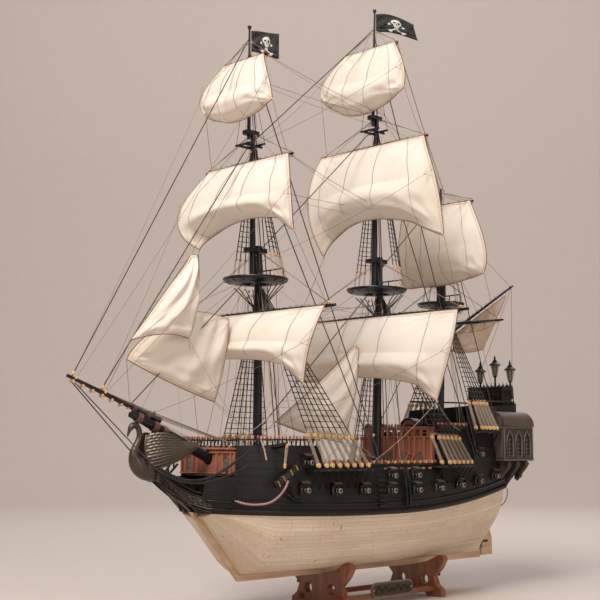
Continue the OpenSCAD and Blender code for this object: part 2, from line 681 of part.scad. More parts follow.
// ---- sails ----
// Each sail is a smooth patch over 4 rows of 4 points, from the head down and from the first edge across.
function curve4(p, t) = p[0] * pow(1 - t, 3) + p[1] * 3 * t * pow(1 - t, 2)
  + p[2] * 3 * t * t * (1 - t) + p[3] * pow(t, 3);
function patch(net, u, v) = curve4([for (row = net) curve4(row, u)], v);
function moved(net, p) = [for (row = net) [for (q = row) q + p]];
module sail(net, lift, nu = 10, nv = 8) {
  n = (nu + 1) * (nv + 1);
  at = [for (j = [0 : nv], i = [0 : nu]) patch(net, i / nu, j / nv)];
  rim = concat([for (i = [0 : nu]) i], [for (j = [1 : nv]) j * (nu + 1) + nu],
    [for (i = [nu - 1 : -1 : 0]) nv * (nu + 1) + i], [for (j = [nv - 1 : -1 : 1]) j * (nu + 1)]);
  cells = [for (j = [0 : nv - 1], i = [0 : nu - 1]) let(c = j * (nu + 1) + i)
    [c, c + 1, c + nu + 2, c + nu + 1]];
  color(cream) polyhedron(points = concat(at, [for (p = at) p + lift]), faces = concat(
    [for (c = cells) [c[0], c[2], c[1]]],
    [for (c = cells) [c[0], c[3], c[2]]],
    [for (c = cells) [c[0] + n, c[1] + n, c[2] + n]],
    [for (c = cells) [c[0] + n, c[2] + n, c[3] + n]],
    [for (k = [0 : len(rim) - 1]) let(a = rim[k], b = rim[(k + 1) % len(rim)]) [a, b, b + n]],
    [for (k = [0 : len(rim) - 1]) let(a = rim[k], b = rim[(k + 1) % len(rim)]) [a, b + n, a + n]]));
}
forward = [sail_t, 0, 0];
to_port = [0, sail_t, 0];
fore_topgallant_net = [
  [[4, -32, 0], [4, -10, 0], [4, 12, 0], [4, 34, 0]],
  [[12, -50, -18], [26, -20, -16], [26, 15, -18], [10, 42, -20]],
  [[18, -74, -40], [34, -30, -48], [34, 20, -48], [12, 54, -36]],
  [[12, -54, -54], [16, -24, -86], [16, 20, -74], [8, 52, -56]]];
main_topgallant_net = [
  [[4, -40, 0], [4, -12, 0], [4, 18, 0], [4, 42, 0]],
  [[12, -62, -20], [28, -20, -24], [28, 25, -26], [10, 58, -24]],
  [[16, -81, -37], [38, -34, -52], [36, 24, -58], [12, 68, -40]],
  [[12, -75, -50], [14, -44, -100], [14, 14, -92], [8, 60, -62]]];
fore_topsail_net = [
  [[4, -62, 0], [4, -20, 0], [4, 25, 0], [4, 68, 0]],
  [[12, -82, -20], [30, -24, -28], [32, 24, -28], [12, 78, -24]],
  [[22, -140, -58], [44, -30, -50], [44, 26, -50], [18, 86, -50]],
  [[12, -68, -90], [12, -46, -66], [12, 30, -58], [8, 80, -86]]];
main_topsail_net = [
  [[4, -84, 0], [4, -30, 0], [4, 30, 0], [4, 86, 0]],
  [[14, -100, -30], [34, -30, -32], [34, 30, -32], [14, 98, -28]],
  [[22, -106, -76], [46, -30, -60], [46, 34, -60], [22, 122, -54]],
  [[10, -74, -130], [12, -50, -82], [12, 20, -88], [10, 118, -126]]];
mizzen_topsail_net = [
  [[4, -54, 0], [4, -18, 0], [4, 18, 0], [4, 56, 0]],
  [[12, -58, -30], [28, -18, -32], [28, 20, -32], [12, 72, -28]],
  [[16, -58, -70], [36, -18, -70], [36, 22, -70], [16, 98, -70]],
  [[10, -48, -104], [12, -14, -112], [12, 24, -114], [10, 80, -96]]];
fore_course_net = [
  [[5, -118, 0], [5, -40, 0], [5, 40, 0], [5, 118, 0]],
  [[14, -126, -16], [32, -40, -18], [32, 40, -18], [14, 114, -20]],
  [[20, -124, -34], [44, -40, -38], [44, 40, -36], [20, 106, -42]],
  [[10, -116, -48], [14, -40, -56], [14, 40, -48], [10, 92, -80]]];
main_course_net = [
  [[5, -134, 0], [5, -45, 0], [5, 45, 0], [5, 134, 0]],
  [[14, -132, -20], [34, -45, -24], [34, 45, -24], [14, 138, -24]],
  [[20, -128, -46], [46, -45, -52], [46, 45, -52], [20, 132, -56]],
  [[10, -112, -74], [14, -45, -78], [14, 50, -72], [10, 106, -104]]];
outer_jib_net = [
  [[202, 5, 378], [200, 7, 379], [198, 8, 379], [195, 9, 377]],
  [[224, 5, 350], [212, 19, 348], [202, 21, 344], [194, 11, 342]],
  [[252, 5, 316], [234, 25, 314], [216, 27, 308], [198, 13, 308]],
  [[278, 5, 284], [256, 19, 292], [234, 19, 294], [207, 9, 290]]];
fore_staysail_net = [
  [[202, -14, 320], [180, -10, 323], [160, -6, 321], [138, -6, 316]],
  [[234, -14, 300], [206, 12, 298], [178, 16, 292], [146, 2, 286]],
  [[262, -12, 282], [228, 18, 262], [190, 20, 254], [156, 4, 250]],
  [[270, -12, 266], [236, 2, 246], [196, 2, 234], [160, -4, 226]]];
main_staysail_net = [
  [[-50, 2, 296], [-52, 3, 297], [-54, 4, 297], [-57, 6, 295]],
  [[-10, 2, 262], [-24, 12, 254], [-38, 16, 248], [-52, 10, 244]],
  [[36, 2, 232], [14, 12, 222], [-14, 14, 214], [-42, 8, 210]],
  [[76, 2, 206], [46, 6, 196], [8, 6, 188], [-28, 4, 184]]];
spanker_net = [
  [[-240, 4, 321], [-270, 9, 341], [-304, 15, 362], [-336, 21, 382]],
  [[-240, 6, 314], [-262, 20, 328], [-294, 28, 344], [-324, 24, 364]],
  [[-240, 6, 308], [-258, 22, 314], [-284, 26, 324], [-308, 20, 340]],
  [[-240, 4, 302], [-254, 10, 300], [-276, 12, 302], [-298, 10, 308]]];
module fore_course() { sail(moved(fore_course_net, fore_yard), forward); }
module main_course() { sail(moved(main_course_net, main_yard), forward); }
module fore_topsail() { sail(moved(fore_topsail_net, fore_topsail_yard), forward); }
module main_topsail() { sail(moved(main_topsail_net, main_topsail_yard), forward); }
module mizzen_topsail() { sail(moved(mizzen_topsail_net, mizzen_topsail_yard), forward); }
module fore_topgallant_sail() { sail(moved(fore_topgallant_net, fore_topgallant_yard), forward); }
module main_topgallant_sail() { sail(moved(main_topgallant_net, main_topgallant_yard), forward); }
module outer_jib() { sail(outer_jib_net, to_port, 8, 8); }
module fore_staysail() { sail(fore_staysail_net, to_port, 8, 8); }
module main_staysail() { sail(main_staysail_net, to_port, 8, 8); }
module spanker() { sail(spanker_net, to_port, 8, 6); }

fore_flag_net = [
  [[0, 0, 0], [-10, 5, 2], [-16, 16, -4], [-24, 20, -2]],
  [[0, 0, -8], [-10, 5, -6], [-16, 16, -12], [-24, 20, -12]],
  [[0, 0, -16], [-10, 5, -16], [-16, 16, -22], [-24, 20, -22]],
  [[0, 0, -24], [-10, 5, -24], [-16, 16, -32], [-24, 20, -32]]];
main_flag_net = [
  [[0, 0, 0], [-12, 10, 4], [-22, 24, -6], [-32, 34, -14]],
  [[0, 0, -8], [-12, 10, -4], [-22, 24, -14], [-34, 34, -22]],
  [[0, 0, -16], [-12, 10, -12], [-22, 24, -20], [-36, 35, -28]],
  [[0, 0, -24], [-12, 10, -20], [-22, 24, -28], [-38, 36, -34]]];
module flags() {
  sail(moved(fore_flag_net, fore_at(fore_truck_z - 6) + [12.6, 0, 0]), to_port, 6, 4);
  sail(moved(main_flag_net, main_at(main_truck_z - 6) + [12.6, 0, 0]), to_port, 6, 4);
}

// ---- anchors ----
anchor_ring = [127, 66, 149];
module anchor() {
  translate(anchor_ring) {
    rod([-16, 6, 10], [16, 6, -10], 5);
    rod([0, 6, 0], [-14, 4, -22], 2.6);
    rotate([0, 0, -8]) translate([-14, 5, -24]) rotate([90, 0, 0]) rotate_extrude(angle = 180, $fn = 30)
      translate([13, 0]) circle(d = 2.6, $fn = 16);
  }
}
module anchors() {
  color(black) both_sides() {
    anchor();
    rod([134, 54, 178], [128, 76, 180], 4);
  }
}
// Slack anchor cable from the hawse hole to the anchor's ring.
cable_route = [[172, 43, 124], [165, 51, 121], [155, 58, 120], [145, 66, 122], [138, 72, 128],
  [133, 76, 136], [129, 77, 144]];
function tangent(r, i) = let(v = r[min(i + 1, len(r) - 1)] - r[max(i - 1, 0)]) v / norm(v);
function across(t) = let(v = cross(t, [0, 0, 1])) v / norm(v);
module cord(route, d) {
  skin([for (i = [0 : len(route) - 1]) let(t = tangent(route, i), s = across(t), w = cross(s, t))
    reverse([for (a = [0 : 45 : 315]) route[i] + s * cos(a) * d / 2 + w * sin(a) * d / 2])]);
}
module anchor_cables() { color(rusty_pink) both_sides() cord(cable_route, 2.2); }
// Slack preventer rope from the corner of the counter to the side of the sternpost.
pendant_route = [[-299, 43, 126], [-304, 40, 118], [-306, 34, 108], [-303, 26, 101], [-298, 17, 98],
  [-294, 9, 102], [-291, 4.2, 112]];
module rudder_pendants() { color(rope_brown) both_sides() cord(pendant_route, 1.2); }

// ---- belfry and bell ----
belfry_x = -160;
bell_z = 196;
module belfry() {
  color(red_brown) translate([belfry_x, 0, quarter_z]) {
    for (y = [-9, 9]) translate([-3, y - 1.5, 0]) cube([6, 3, 30]);
    difference() {
      translate([-5, 0, 27]) rotate([90, 0, 90]) linear_extrude(10) intersection() {
        difference() {
          circle(r = 13);
          circle(r = 9);
        }
        translate([-13, 0]) square([26, 13]);
      }
      translate([0, 0, bell_z + 7 - quarter_z]) rotate([90, 0, 0])
        cylinder(h = 40, d = 1.36, center = true);
    }
    for (y = [-9, 9]) translate([-1, y - 1, 0]) cube([2, 2, 4]);
  }
}
module bell() {
  color([0.72, 0.55, 0.25]) {
    translate([belfry_x, 0, bell_z - 8]) rotate_extrude()
      polygon([[4.2, 0], [5, 0], [3.4, 4], [2.8, 9], [1.6, 11], [0, 11], [0, 10], [1.4, 10],
        [2, 8.6], [2.6, 4]]);
    translate([belfry_x, 0, bell_z + 2.5]) cylinder(h = 5.5, d = 1.8);
    translate([belfry_x, 0, bell_z + 7]) rotate([90, 0, 0]) cylinder(h = 15, d = 1.2, center = true);
  }
}

// ---- rudder ----
hinge_x = stern_post_x - 3.4;
pintle_z = [52, 78, 104];
module rudder() {
  color(pale_wood) difference() {
    fore_aft_plate([[hinge_x - rudder_w, keel_z + 2], [hinge_x - 0.4, keel_z + 2],
      [hinge_x - 0.4, 124], [hinge_x - 9, 124], [hinge_x - 10, 104], [hinge_x - 15, 82],
      [hinge_x - rudder_w, 60]], 4);
    for (z = pintle_z) translate([hinge_x, 0, z - 3.5]) cylinder(h = 11, d = 6.4);
  }
}
module rudder_irons() {
  color(black) for (z = pintle_z) {
    translate([hinge_x, 0, z]) cylinder(h = 6.4, d = 1.8);
    translate([hinge_x, 0, z + 3.6]) cylinder(h = 2.8, d = 3.6);
    both_sides() translate([hinge_x - 14, 2.05, z + 3.6]) cube([11.5, 1, 2.8]);
    translate([hinge_x - 3.6, -3.05, z + 3.6]) cube([2.4, 6.1, 2.8]);
  }
}
module gudgeons() {
  color(black) for (z = pintle_z) difference() {
    union() {
      translate([hinge_x, 0, z + 0.4]) cylinder(h = 2.8, d = 4);
      both_sides() translate([hinge_x + 1.5, keel_half + 0.05, z + 0.4]) cube([13, 1, 2.8]);
      translate([hinge_x + 1, -keel_half - 1.05, z + 0.4]) cube([2.2, 2 * keel_half + 2.1, 2.8]);
    }
    translate([hinge_x, 0, z - 1]) cylinder(h = 6, d = 1.96);
  }
}

// ---- drawing ----
stand_cradle_fore();
stand_cradle_aft();
stand_rails();
nameplate();
keel();
hull_bulkheads();
lower_planking();
topsides();
wales();
main_deck();
forecastle_deck();
after_decks();
beakhead_bulkhead();
quarterdeck_bulkhead();
stern_board();
quarter_galleries();
stern_lanterns();
head_knee();
head_rails();
swan_figurehead();
gunport_frames();
cannons();
channels();
deadeyes();
side_steps();
cap_rails();
anchors();
anchor_cables();
rudder_pendants();
belfry();
bell();
rudder();
rudder_irons();
gudgeons();
lower_masts();
topmasts();
topgallant_masts();
mast_tops();
mast_caps();
bowsprit();
jib_boom();
lower_yards();
topsail_yards();
topgallant_yards();
gaff();
shrouds();
stays();
fore_course();
main_course();
fore_topsail();
main_topsail();
mizzen_topsail();
fore_topgallant_sail();
main_topgallant_sail();
outer_jib();
fore_staysail();
main_staysail();
spanker();
flags();
hatch_gratings();
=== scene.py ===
"""Looks for the three-masted model ship: timber, paint, cordage, canvas and carved work round the CAD frame."""
import logging
import math
import random
from dataclasses import dataclass, field
from enum import Enum

import bmesh
import bpy
from mathutils import Matrix, Vector


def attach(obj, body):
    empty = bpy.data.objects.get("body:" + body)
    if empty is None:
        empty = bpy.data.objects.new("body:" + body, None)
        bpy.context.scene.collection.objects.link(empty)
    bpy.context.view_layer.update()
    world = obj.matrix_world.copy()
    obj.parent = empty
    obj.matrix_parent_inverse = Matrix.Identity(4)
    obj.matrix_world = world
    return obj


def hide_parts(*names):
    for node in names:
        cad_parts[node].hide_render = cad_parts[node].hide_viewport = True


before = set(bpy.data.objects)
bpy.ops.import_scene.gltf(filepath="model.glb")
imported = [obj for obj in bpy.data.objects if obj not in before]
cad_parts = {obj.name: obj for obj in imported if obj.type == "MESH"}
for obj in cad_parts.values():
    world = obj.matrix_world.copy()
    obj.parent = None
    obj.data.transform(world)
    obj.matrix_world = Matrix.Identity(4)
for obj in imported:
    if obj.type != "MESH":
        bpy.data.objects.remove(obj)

log = logging.getLogger("ship")
MM = 0.001
Point = tuple[float, float, float]
Colour = tuple[float, float, float]
SIDES = ((1, "port"), (-1, "starboard"))
CLEWS = (("left", -1), ("right", 1))
AHEAD, PORT, UP = Vector((1, 0, 0)), Vector((0, 1, 0)), Vector((0, 0, 1))
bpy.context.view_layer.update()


def vec(x: float, y: float, z: float) -> Vector:
    """A point given in millimetres, as a vector in metres."""
    return Vector((x, y, z)) * MM


def lerp(a: float, b: float, t: float) -> float:
    """The value a share t of the way from a to b."""
    return a + (b - a) * t


def unit(t: float) -> float:
    """t held between 0 and 1."""
    return min(1.0, max(0.0, t))


# ---------------------------------------------------------------- shader maths


class Term:
    """A number socket that takes part in Python arithmetic."""

    def __init__(self, tree: bpy.types.NodeTree, socket: bpy.types.NodeSocket) -> None:
        """Wraps one output socket of a node tree."""
        self.tree = tree
        self.socket = socket

    def _math(self, operation: str, *values: "Term | float") -> "Term":
        """Adds one Math node.

        Args:
            operation: the Math node's operation.
            values: its inputs, in order.
        Returns:
            The node's output.
        """
        node = self.tree.nodes.new("ShaderNodeMath")
        node.operation = operation
        for place, value in enumerate(values):
            if isinstance(value, Term):
                self.tree.links.new(value.socket, node.inputs[place])
            else:
                node.inputs[place].default_value = value
        return Term(self.tree, node.outputs[0])

    def __add__(self, other: "Term | float") -> "Term":
        """Sum."""
        return self._math("ADD", self, other)

    __radd__ = __add__

    def __sub__(self, other: "Term | float") -> "Term":
        """Difference."""
        return self._math("SUBTRACT", self, other)

    def __rsub__(self, other: float) -> "Term":
        """Difference from a number."""
        return self._math("SUBTRACT", other, self)

    def __mul__(self, other: "Term | float") -> "Term":
        """Product."""
        return self._math("MULTIPLY", self, other)

    __rmul__ = __mul__

    def __truediv__(self, other: "Term | float") -> "Term":
        """Quotient."""
        return self._math("DIVIDE", self, other)

    def __pow__(self, other: float) -> "Term":
        """Power."""
        return self._math("POWER", self, other)

    def __abs__(self) -> "Term":
        """Size without sign."""
        return self._math("ABSOLUTE", self)

    def sin(self) -> "Term":
        """Sine, in radians."""
        return self._math("SINE", self)

    def fraction(self) -> "Term":
        """What is left over a whole number."""
        return self._math("FRACT", self)

    def floor(self) -> "Term":
        """The whole number below."""
        return self._math("FLOOR", self)

    def least(self, other: "Term | float") -> "Term":
        """The smaller of the two."""
        return self._math("MINIMUM", self, other)

    def most(self, other: "Term | float") -> "Term":
        """The larger of the two."""
        return self._math("MAXIMUM", self, other)

    def ease(self, low: float, high: float) -> "Term":
        """A soft step from 0 at low to 1 at high.

        Args:
            low: where the step starts.
            high: where it ends; below low for a falling step.
        Returns:
            The step.
        """
        node = self.tree.nodes.new("ShaderNodeMapRange")
        node.interpolation_type = "SMOOTHSTEP"
        self.tree.links.new(self.socket, node.inputs["Value"])
        rising = high >= low
        node.inputs["From Min"].default_value = low if rising else high
        node.inputs["From Max"].default_value = high if rising else low
        node.inputs["To Min"].default_value = 0.0 if rising else 1.0
        node.inputs["To Max"].default_value = 1.0 if rising else 0.0
        return Term(self.tree, node.outputs["Result"])


class Shader:
    """A material under construction, with one Principled BSDF."""

    def __init__(self, name: str) -> None:
        """Starts an empty material."""
        self.material = bpy.data.materials.new(name)
        self.material.use_nodes = True
        self.tree = self.material.node_tree
        self.tree.nodes.clear()
        self.surface = self.tree.nodes.new("ShaderNodeBsdfPrincipled")
        output = self.tree.nodes.new("ShaderNodeOutputMaterial")
        self.tree.links.new(self.surface.outputs[0], output.inputs["Surface"])

    def node(self, kind: str, settings: dict | None = None, **inputs: object) -> bpy.types.Node:
        """Adds a node.

        Args:
            kind: the node's type.
            settings: properties that are set first.
            inputs: values or Terms for its sockets, by name, with _ for a space.
        Returns:
            The node.
        """
        made = self.tree.nodes.new(kind)
        for key, value in (settings or {}).items():
            setattr(made, key, value)
        for key, value in inputs.items():
            socket = made.inputs[key.replace("_", " ")]
            if isinstance(value, Term):
                self.tree.links.new(value.socket, socket)
            elif isinstance(value, bpy.types.NodeSocket):
                self.tree.links.new(value, socket)
            else:
                socket.default_value = value
        return made

    def place(self, stretch: Point, uv: bool) -> bpy.types.NodeSocket:
        """Object coordinates in metres, or the piece's UV map, stretched along each axis."""
        where = self.node("ShaderNodeTexCoord").outputs["UV" if uv else "Object"]
        return self.node("ShaderNodeMapping", Vector=where, Scale=stretch).outputs[0]

    def axes(self, uv: bool = False) -> list[Term]:
        """The coordinates as separate numbers.

        Args:
            uv: the piece's UV map in place of Object coordinates.
        Returns:
            The three numbers.
        """
        where = self.node("ShaderNodeTexCoord").outputs["UV" if uv else "Object"]
        split = self.node("ShaderNodeSeparateXYZ", Vector=where)
        return [Term(self.tree, split.outputs[i]) for i in range(3)]

    def attribute(self, name: str) -> Term:
        """A number stored on the piece's points."""
        return Term(self.tree, self.node("ShaderNodeAttribute", {"attribute_name": name}).outputs["Fac"])

    def noise(self, scale: float, detail: float = 3.0, stretch: Point = (1, 1, 1), uv: bool = False) -> Term:
        """A soft noise between 0 and 1.

        Args:
            scale: how fine it is, per metre.
            detail: its octaves.
            stretch: how each axis is squeezed.
            uv: the piece's UV map in place of Object coordinates.
        Returns:
            The noise.
        """
        made = self.node("ShaderNodeTexNoise", Vector=self.place(stretch, uv), Scale=scale, Detail=detail)
        return Term(self.tree, made.outputs["Fac"])

    def blend(self, share: Term, first: object, second: object) -> bpy.types.NodeSocket:
        """A colour that goes from first to second as share goes from 0 to 1."""
        made = self.tree.nodes.new("ShaderNodeMix")
        made.data_type = "RGBA"
        self.tree.links.new(share.socket, made.inputs[0])
        for place, value in ((6, first), (7, second)):
            if isinstance(value, bpy.types.NodeSocket):
                self.tree.links.new(value, made.inputs[place])
            else:
                made.inputs[place].default_value = (*value, 1.0)
        return made.outputs[2]

    def bump(self, height: Term, depth: float, strength: float = 1.0) -> None:
        """Raises the surface by height times depth, in metres."""
        made = self.node("ShaderNodeBump", Height=height, Distance=depth, Strength=strength)
        self.tree.links.new(made.outputs[0], self.surface.inputs["Normal"])

    def set(self, **inputs: object) -> bpy.types.Material:
        """Sets or links the surface's sockets, by name with _ for a space, and returns the material."""
        for key, value in inputs.items():
            socket = self.surface.inputs[key.replace("_", " ")]
            if isinstance(value, Term):
                self.tree.links.new(value.socket, socket)
            elif isinstance(value, bpy.types.NodeSocket):
                self.tree.links.new(value, socket)
            elif isinstance(value, tuple) and socket.type == "RGBA":
                socket.default_value = (*value, 1.0)
            else:
                socket.default_value = value
        return self.material


# ---------------------------------------------------------------- finishes


class Run(Enum):
    """Which way the boards of a timber piece run."""

    ALONG_X = (0, 1)
    ALONG_Z = (2, 1)


@dataclass(frozen=True)
class Timber:
    """Bare or stained timber with grain, pores and, where boards meet, dark seams."""

    name: str
    light: Colour
    dark: Colour
    run: Run = Run.ALONG_X
    board: float = 0.0
    seam_dark: float = 0.55
    roughness: float = 0.55
    gloss: float = 0.0
    grain: float = 1.0

    def make(self) -> bpy.types.Material:
        """Builds the material."""
        sh = Shader(self.name)
        along, across = self.run.value
        stretch = [170.0, 170.0, 170.0]
        stretch[along] = 14.0
        fine = sh.noise(self.grain, 4.0, tuple(stretch))
        wide = [55.0, 55.0, 55.0]
        wide[along] = 6.0
        broad = sh.noise(1.0, 2.0, tuple(wide))
        stain = sh.noise(26.0, 3.0)
        share = (fine * 0.5 + broad * 0.35 + stain * 0.35).ease(0.38, 0.8)
        colour = sh.blend(share, self.light, self.dark)
        height = fine * 0.4
        if self.board > 0:
            place = sh.axes()[across] / self.board
            tone = ((place.floor() * 12.9898).sin() * 43.7585).fraction()
            colour = sh.blend(tone * 0.35, colour, tuple(c * 0.72 for c in self.light))
            seam = abs(place.fraction() - 0.5).ease(0.455, 0.49)
            colour = sh.blend(seam * self.seam_dark, colour, tuple(c * 0.3 for c in self.dark))
            height = height - seam
        sh.bump(height, 0.00025)
        rough = share * 0.12 + (self.roughness - 0.06)
        return sh.set(Base_Color=colour, Roughness=rough, Coat_Weight=self.gloss, Coat_Roughness=0.25)


@dataclass(frozen=True)
class StrakedHull:
    """Bottom or side planking on a UV map: U along the hull and V across the strakes, one unit a strake."""

    name: str
    light: Colour
    dark: Colour
    seam: Colour
    roughness: float
    butt: float = 0.62
    nicks: float = 0.0
    coat: float = 0.0
    shine: float = 0.5

    def make(self) -> bpy.types.Material:
        """Builds the material."""
        sh = Shader(self.name)
        u, v, _ = sh.axes(uv=True)
        row = v.floor()
        tone = ((row * 12.9898).sin() * 43.7585).fraction()
        shift = ((row * 7.233).sin() * 17.317).fraction()
        length = (u / self.butt + shift)
        board = (length.floor() * 3.77 + row * 9.1).sin() * 27.31
        grain = sh.noise(1.0, 5.0, (34.0, 3.2, 1.0), uv=True)
        fine = sh.noise(1.0, 3.0, (90.0, 14.0, 1.0), uv=True)
        stain = sh.noise(15.0, 4.0)
        share = (grain * 0.55 + fine * 0.25 + stain * 0.4 + tone * 0.14 + board.fraction() * 0.1).ease(0.42, 0.98)
        colour = sh.blend(share, self.light, self.dark)
        seam = abs(v.fraction() - 0.5).ease(0.462, 0.492)
        butt = abs(length.fraction() - 0.5).ease(0.4962, 0.4985)
        line = seam.most(butt)
        colour = sh.blend(line * 0.6, colour, self.seam)
        height = fine * 0.25 - line
        if self.nicks > 0:
            speck = sh.noise(150.0, 2.0).ease(0.69, 0.74) * self.nicks
            colour = sh.blend(speck, colour, tuple(c * 0.35 for c in self.dark))
            height = height - speck
        sh.bump(height, 0.0002)
        rough = share * 0.14 + self.roughness
        return sh.set(Base_Color=colour, Roughness=rough, Coat_Weight=self.coat, Coat_Roughness=0.3,
                      Specular_IOR_Level=self.shine)


@dataclass(frozen=True)
class BlackPaint:
    """Satin black paint on timber, with brushed streaks, dust and rubbed edges."""

    name: str
    tone: Colour = (0.006, 0.0055, 0.005)
    rub: Colour = (0.06, 0.046, 0.036)
    roughness: float = 0.34
    streak: Point = (10.0, 90.0, 90.0)

    def make(self) -> bpy.types.Material:
        """Builds the material."""
        sh = Shader(self.name)
        brush = sh.noise(1.4, 4.0, self.streak)
        dust = sh.noise(32.0, 4.0)
        edge = self.worn_edges(sh)
        share = (dust.ease(0.5, 0.82) * 0.35 + edge * 0.5).least(1.0)
        colour = sh.blend(share, self.tone, self.rub)
        sh.bump(brush * 0.6 + dust * 0.3, 0.00018)
        rough = brush * 0.2 + dust * 0.16 + (self.roughness - 0.13)
        return sh.set(Base_Color=colour, Roughness=rough, Coat_Weight=0.06, Coat_Roughness=0.3,
                      Specular_IOR_Level=0.36)

    @staticmethod
    def worn_edges(sh: Shader) -> Term:
        """Where paint has rubbed off the corners."""
        made = sh.node("ShaderNodeNewGeometry")
        point = Term(sh.tree, made.outputs["Pointiness"])
        return point.ease(0.53, 0.6) * sh.noise(90.0, 3.0).ease(0.42, 0.66)


@dataclass(frozen=True)
class CastMetal:
    """Cast or turned metal, darker in its hollows and brighter where it is handled."""

    name: str
    bright: Colour
    hollow: Colour
    roughness: float = 0.42
    metallic: float = 0.85

    def make(self) -> bpy.types.Material:
        """Builds the material."""
        sh = Shader(self.name)
        made = sh.node("ShaderNodeNewGeometry")
        point = Term(sh.tree, made.outputs["Pointiness"])
        patch = sh.noise(90.0, 4.0)
        share = (point.ease(0.44, 0.58) * 0.7 + patch * 0.6 - 0.2).ease(0.2, 0.85)
        colour = sh.blend(share, self.hollow, self.bright)
        sh.bump(sh.noise(420.0, 3.0) * 0.5 + patch * 0.5, 0.00025)
        rough = patch * 0.25 + (self.roughness - 0.12)
        return sh.set(Base_Color=colour, Roughness=rough, Metallic=self.metallic)


@dataclass(frozen=True)
class Cordage:
    """Laid cord on a UV map: U once round and V along, in diameters."""

    name: str
    light: Colour
    dark: Colour
    lay: float = 0.9

    def make(self) -> bpy.types.Material:
        """Builds the material."""
        sh = Shader(self.name)
        u, v, _ = sh.axes(uv=True)
        strand = ((u + v * self.lay) * (3 * math.tau)).sin() * 0.5 + 0.5
        fuzz = sh.noise(700.0, 2.0)
        share = (strand * 0.75 + fuzz * 0.4).ease(0.15, 1.0)
        colour = sh.blend(share, self.dark, self.light)
        sh.bump(strand + fuzz * 0.4, 0.0003)
        return sh.set(Base_Color=colour, Roughness=0.88, Sheen_Weight=0.25, Sheen_Roughness=0.5)


@dataclass(frozen=True)
class Canvas:
    """Sailcloth on a UV map in decimetres, with a 'hem' attribute: the distance to the edge in millimetres."""

    name: str
    light: Colour
    shade: Colour
    hem: Colour
    border: Colour = (0.72, 0.50, 0.34)
    panel: float = 0.19
    thread: float = 210.0

    def make(self) -> bpy.types.Material:
        """Builds the material."""
        sh = Shader(self.name)
        u, v, _ = sh.axes(uv=True)
        warp = (u * (self.thread * math.tau)).sin()
        weft = (v * (self.thread * math.tau)).sin()
        weave = warp * weft * 0.5 + 0.5
        blot = sh.noise(22.0, 4.0)
        cloud = sh.noise(9.0, 2.0)
        share = (blot * 0.6 + cloud * 0.6).ease(0.45, 0.85)
        colour = sh.blend(share, self.light, self.shade)
        colour = sh.blend(weave * 0.12, colour, tuple(c * 0.7 for c in self.shade))
        seam = abs((u / self.panel).fraction() - 0.5).ease(0.487, 0.496)
        colour = sh.blend(seam * 0.08, colour, tuple(c * 0.7 for c in self.shade))
        edge = sh.attribute("hem")
        stitch = ((u + v) * (34 * math.tau)).sin().ease(0.2, 0.6)
        band = edge.ease(4.2, 3.4)
        row = abs(edge - 2.6).ease(1.3, 0.9) * stitch * 0.55
        rim = edge.ease(0.9, 0.4)
        colour = sh.blend(band * 0.3, colour, self.border)
        colour = sh.blend(row.most(rim * 0.8), colour, self.hem)
        sh.bump(weave * 0.15 + seam * 0.3 + band * 1.6 + row * 0.8, 0.00028)
        return sh.set(Base_Color=colour, Roughness=0.9, Sheen_Weight=0.2, Sheen_Roughness=0.6,
                      Subsurface_Weight=0.15, Subsurface_Radius=(0.004, 0.003, 0.002), Subsurface_Scale=1.0)


@dataclass(frozen=True)
class Bunting:
    """Black flag cloth with a plain white skull over crossed bones, on a UV map from 0 to 1."""

    name: str
    cloth: Colour = (0.012, 0.011, 0.011)
    mark: Colour = (0.78, 0.75, 0.70)

    def make(self) -> bpy.types.Material:
        """Builds the material."""
        sh = Shader(self.name)
        u, v, _ = sh.axes(uv=True)
        x, y = (u - 0.52) * 1.25, v - 0.5
        dome = self.ellipse(x, y - 0.12, 0.17, 0.16)
        jaw = self.ellipse(x, y + 0.05, 0.1, 0.09)
        eyes = self.ellipse(abs(x) - 0.07, y - 0.1, 0.045, 0.045)
        nose = self.ellipse(x, y - 0.01, 0.022, 0.034)
        bones = self.bone(x, y, 1).most(self.bone(x, y, -1))
        skull = dome.most(jaw) * (1 - eyes.most(nose))
        near = self.ellipse(x, y - 0.06, 0.2, 0.23)
        mark = skull.most(bones * (1 - near))
        weave = (u * 900).sin() * (v * 700).sin()
        wear = sh.noise(60.0, 3.0)
        base = sh.blend(wear.ease(0.5, 0.9) * 0.5, self.cloth, tuple(c * 3 for c in self.cloth))
        colour = sh.blend(mark * (0.8 + wear * 0.2), base, self.mark)
        sh.bump(weave * 0.4 + mark * 0.6, 0.0002)
        return sh.set(Base_Color=colour, Roughness=0.86, Sheen_Weight=0.3)

    @staticmethod
    def ellipse(x: Term, y: Term, wide: float, high: float) -> Term:
        """1 inside an ellipse about the origin, 0 outside."""
        return ((x / wide) ** 2.0 + (y / high) ** 2.0).ease(1.15, 0.85)

    @staticmethod
    def bone(x: Term, y: Term, way: int) -> Term:
        """A slanting bone with knobbed ends, below the middle."""
        low = y + 0.2
        along = (x + low * way) * 0.7071
        side = abs((low - x * way) * 0.7071)
        shaft = side.ease(0.036, 0.02) * abs(along).ease(0.3, 0.27)
        knob = ((abs(along) - 0.29) ** 2.0 + (side - 0.03) ** 2.0).ease(0.0024, 0.0014)
        return shaft.most(knob)


@dataclass(frozen=True)
class Plain:
    """A calm surface with a little tooth, for glass panes and the studio floor; a glow above 0 makes it give off its
    own tone, which is painted light.
    """

    name: str
    tone: Colour
    roughness: float = 0.6
    glow: float = 0.0

    def make(self) -> bpy.types.Material:
        """Builds the material."""
        sh = Shader(self.name)
        mottle = sh.noise(40.0, 3.0)
        colour = sh.blend(mottle * 0.5, self.tone, tuple(c * 0.86 for c in self.tone))
        sh.bump(mottle, 0.0001)
        return sh.set(Base_Color=colour, Roughness=self.roughness,
                      Emission_Color=self.tone, Emission_Strength=self.glow)


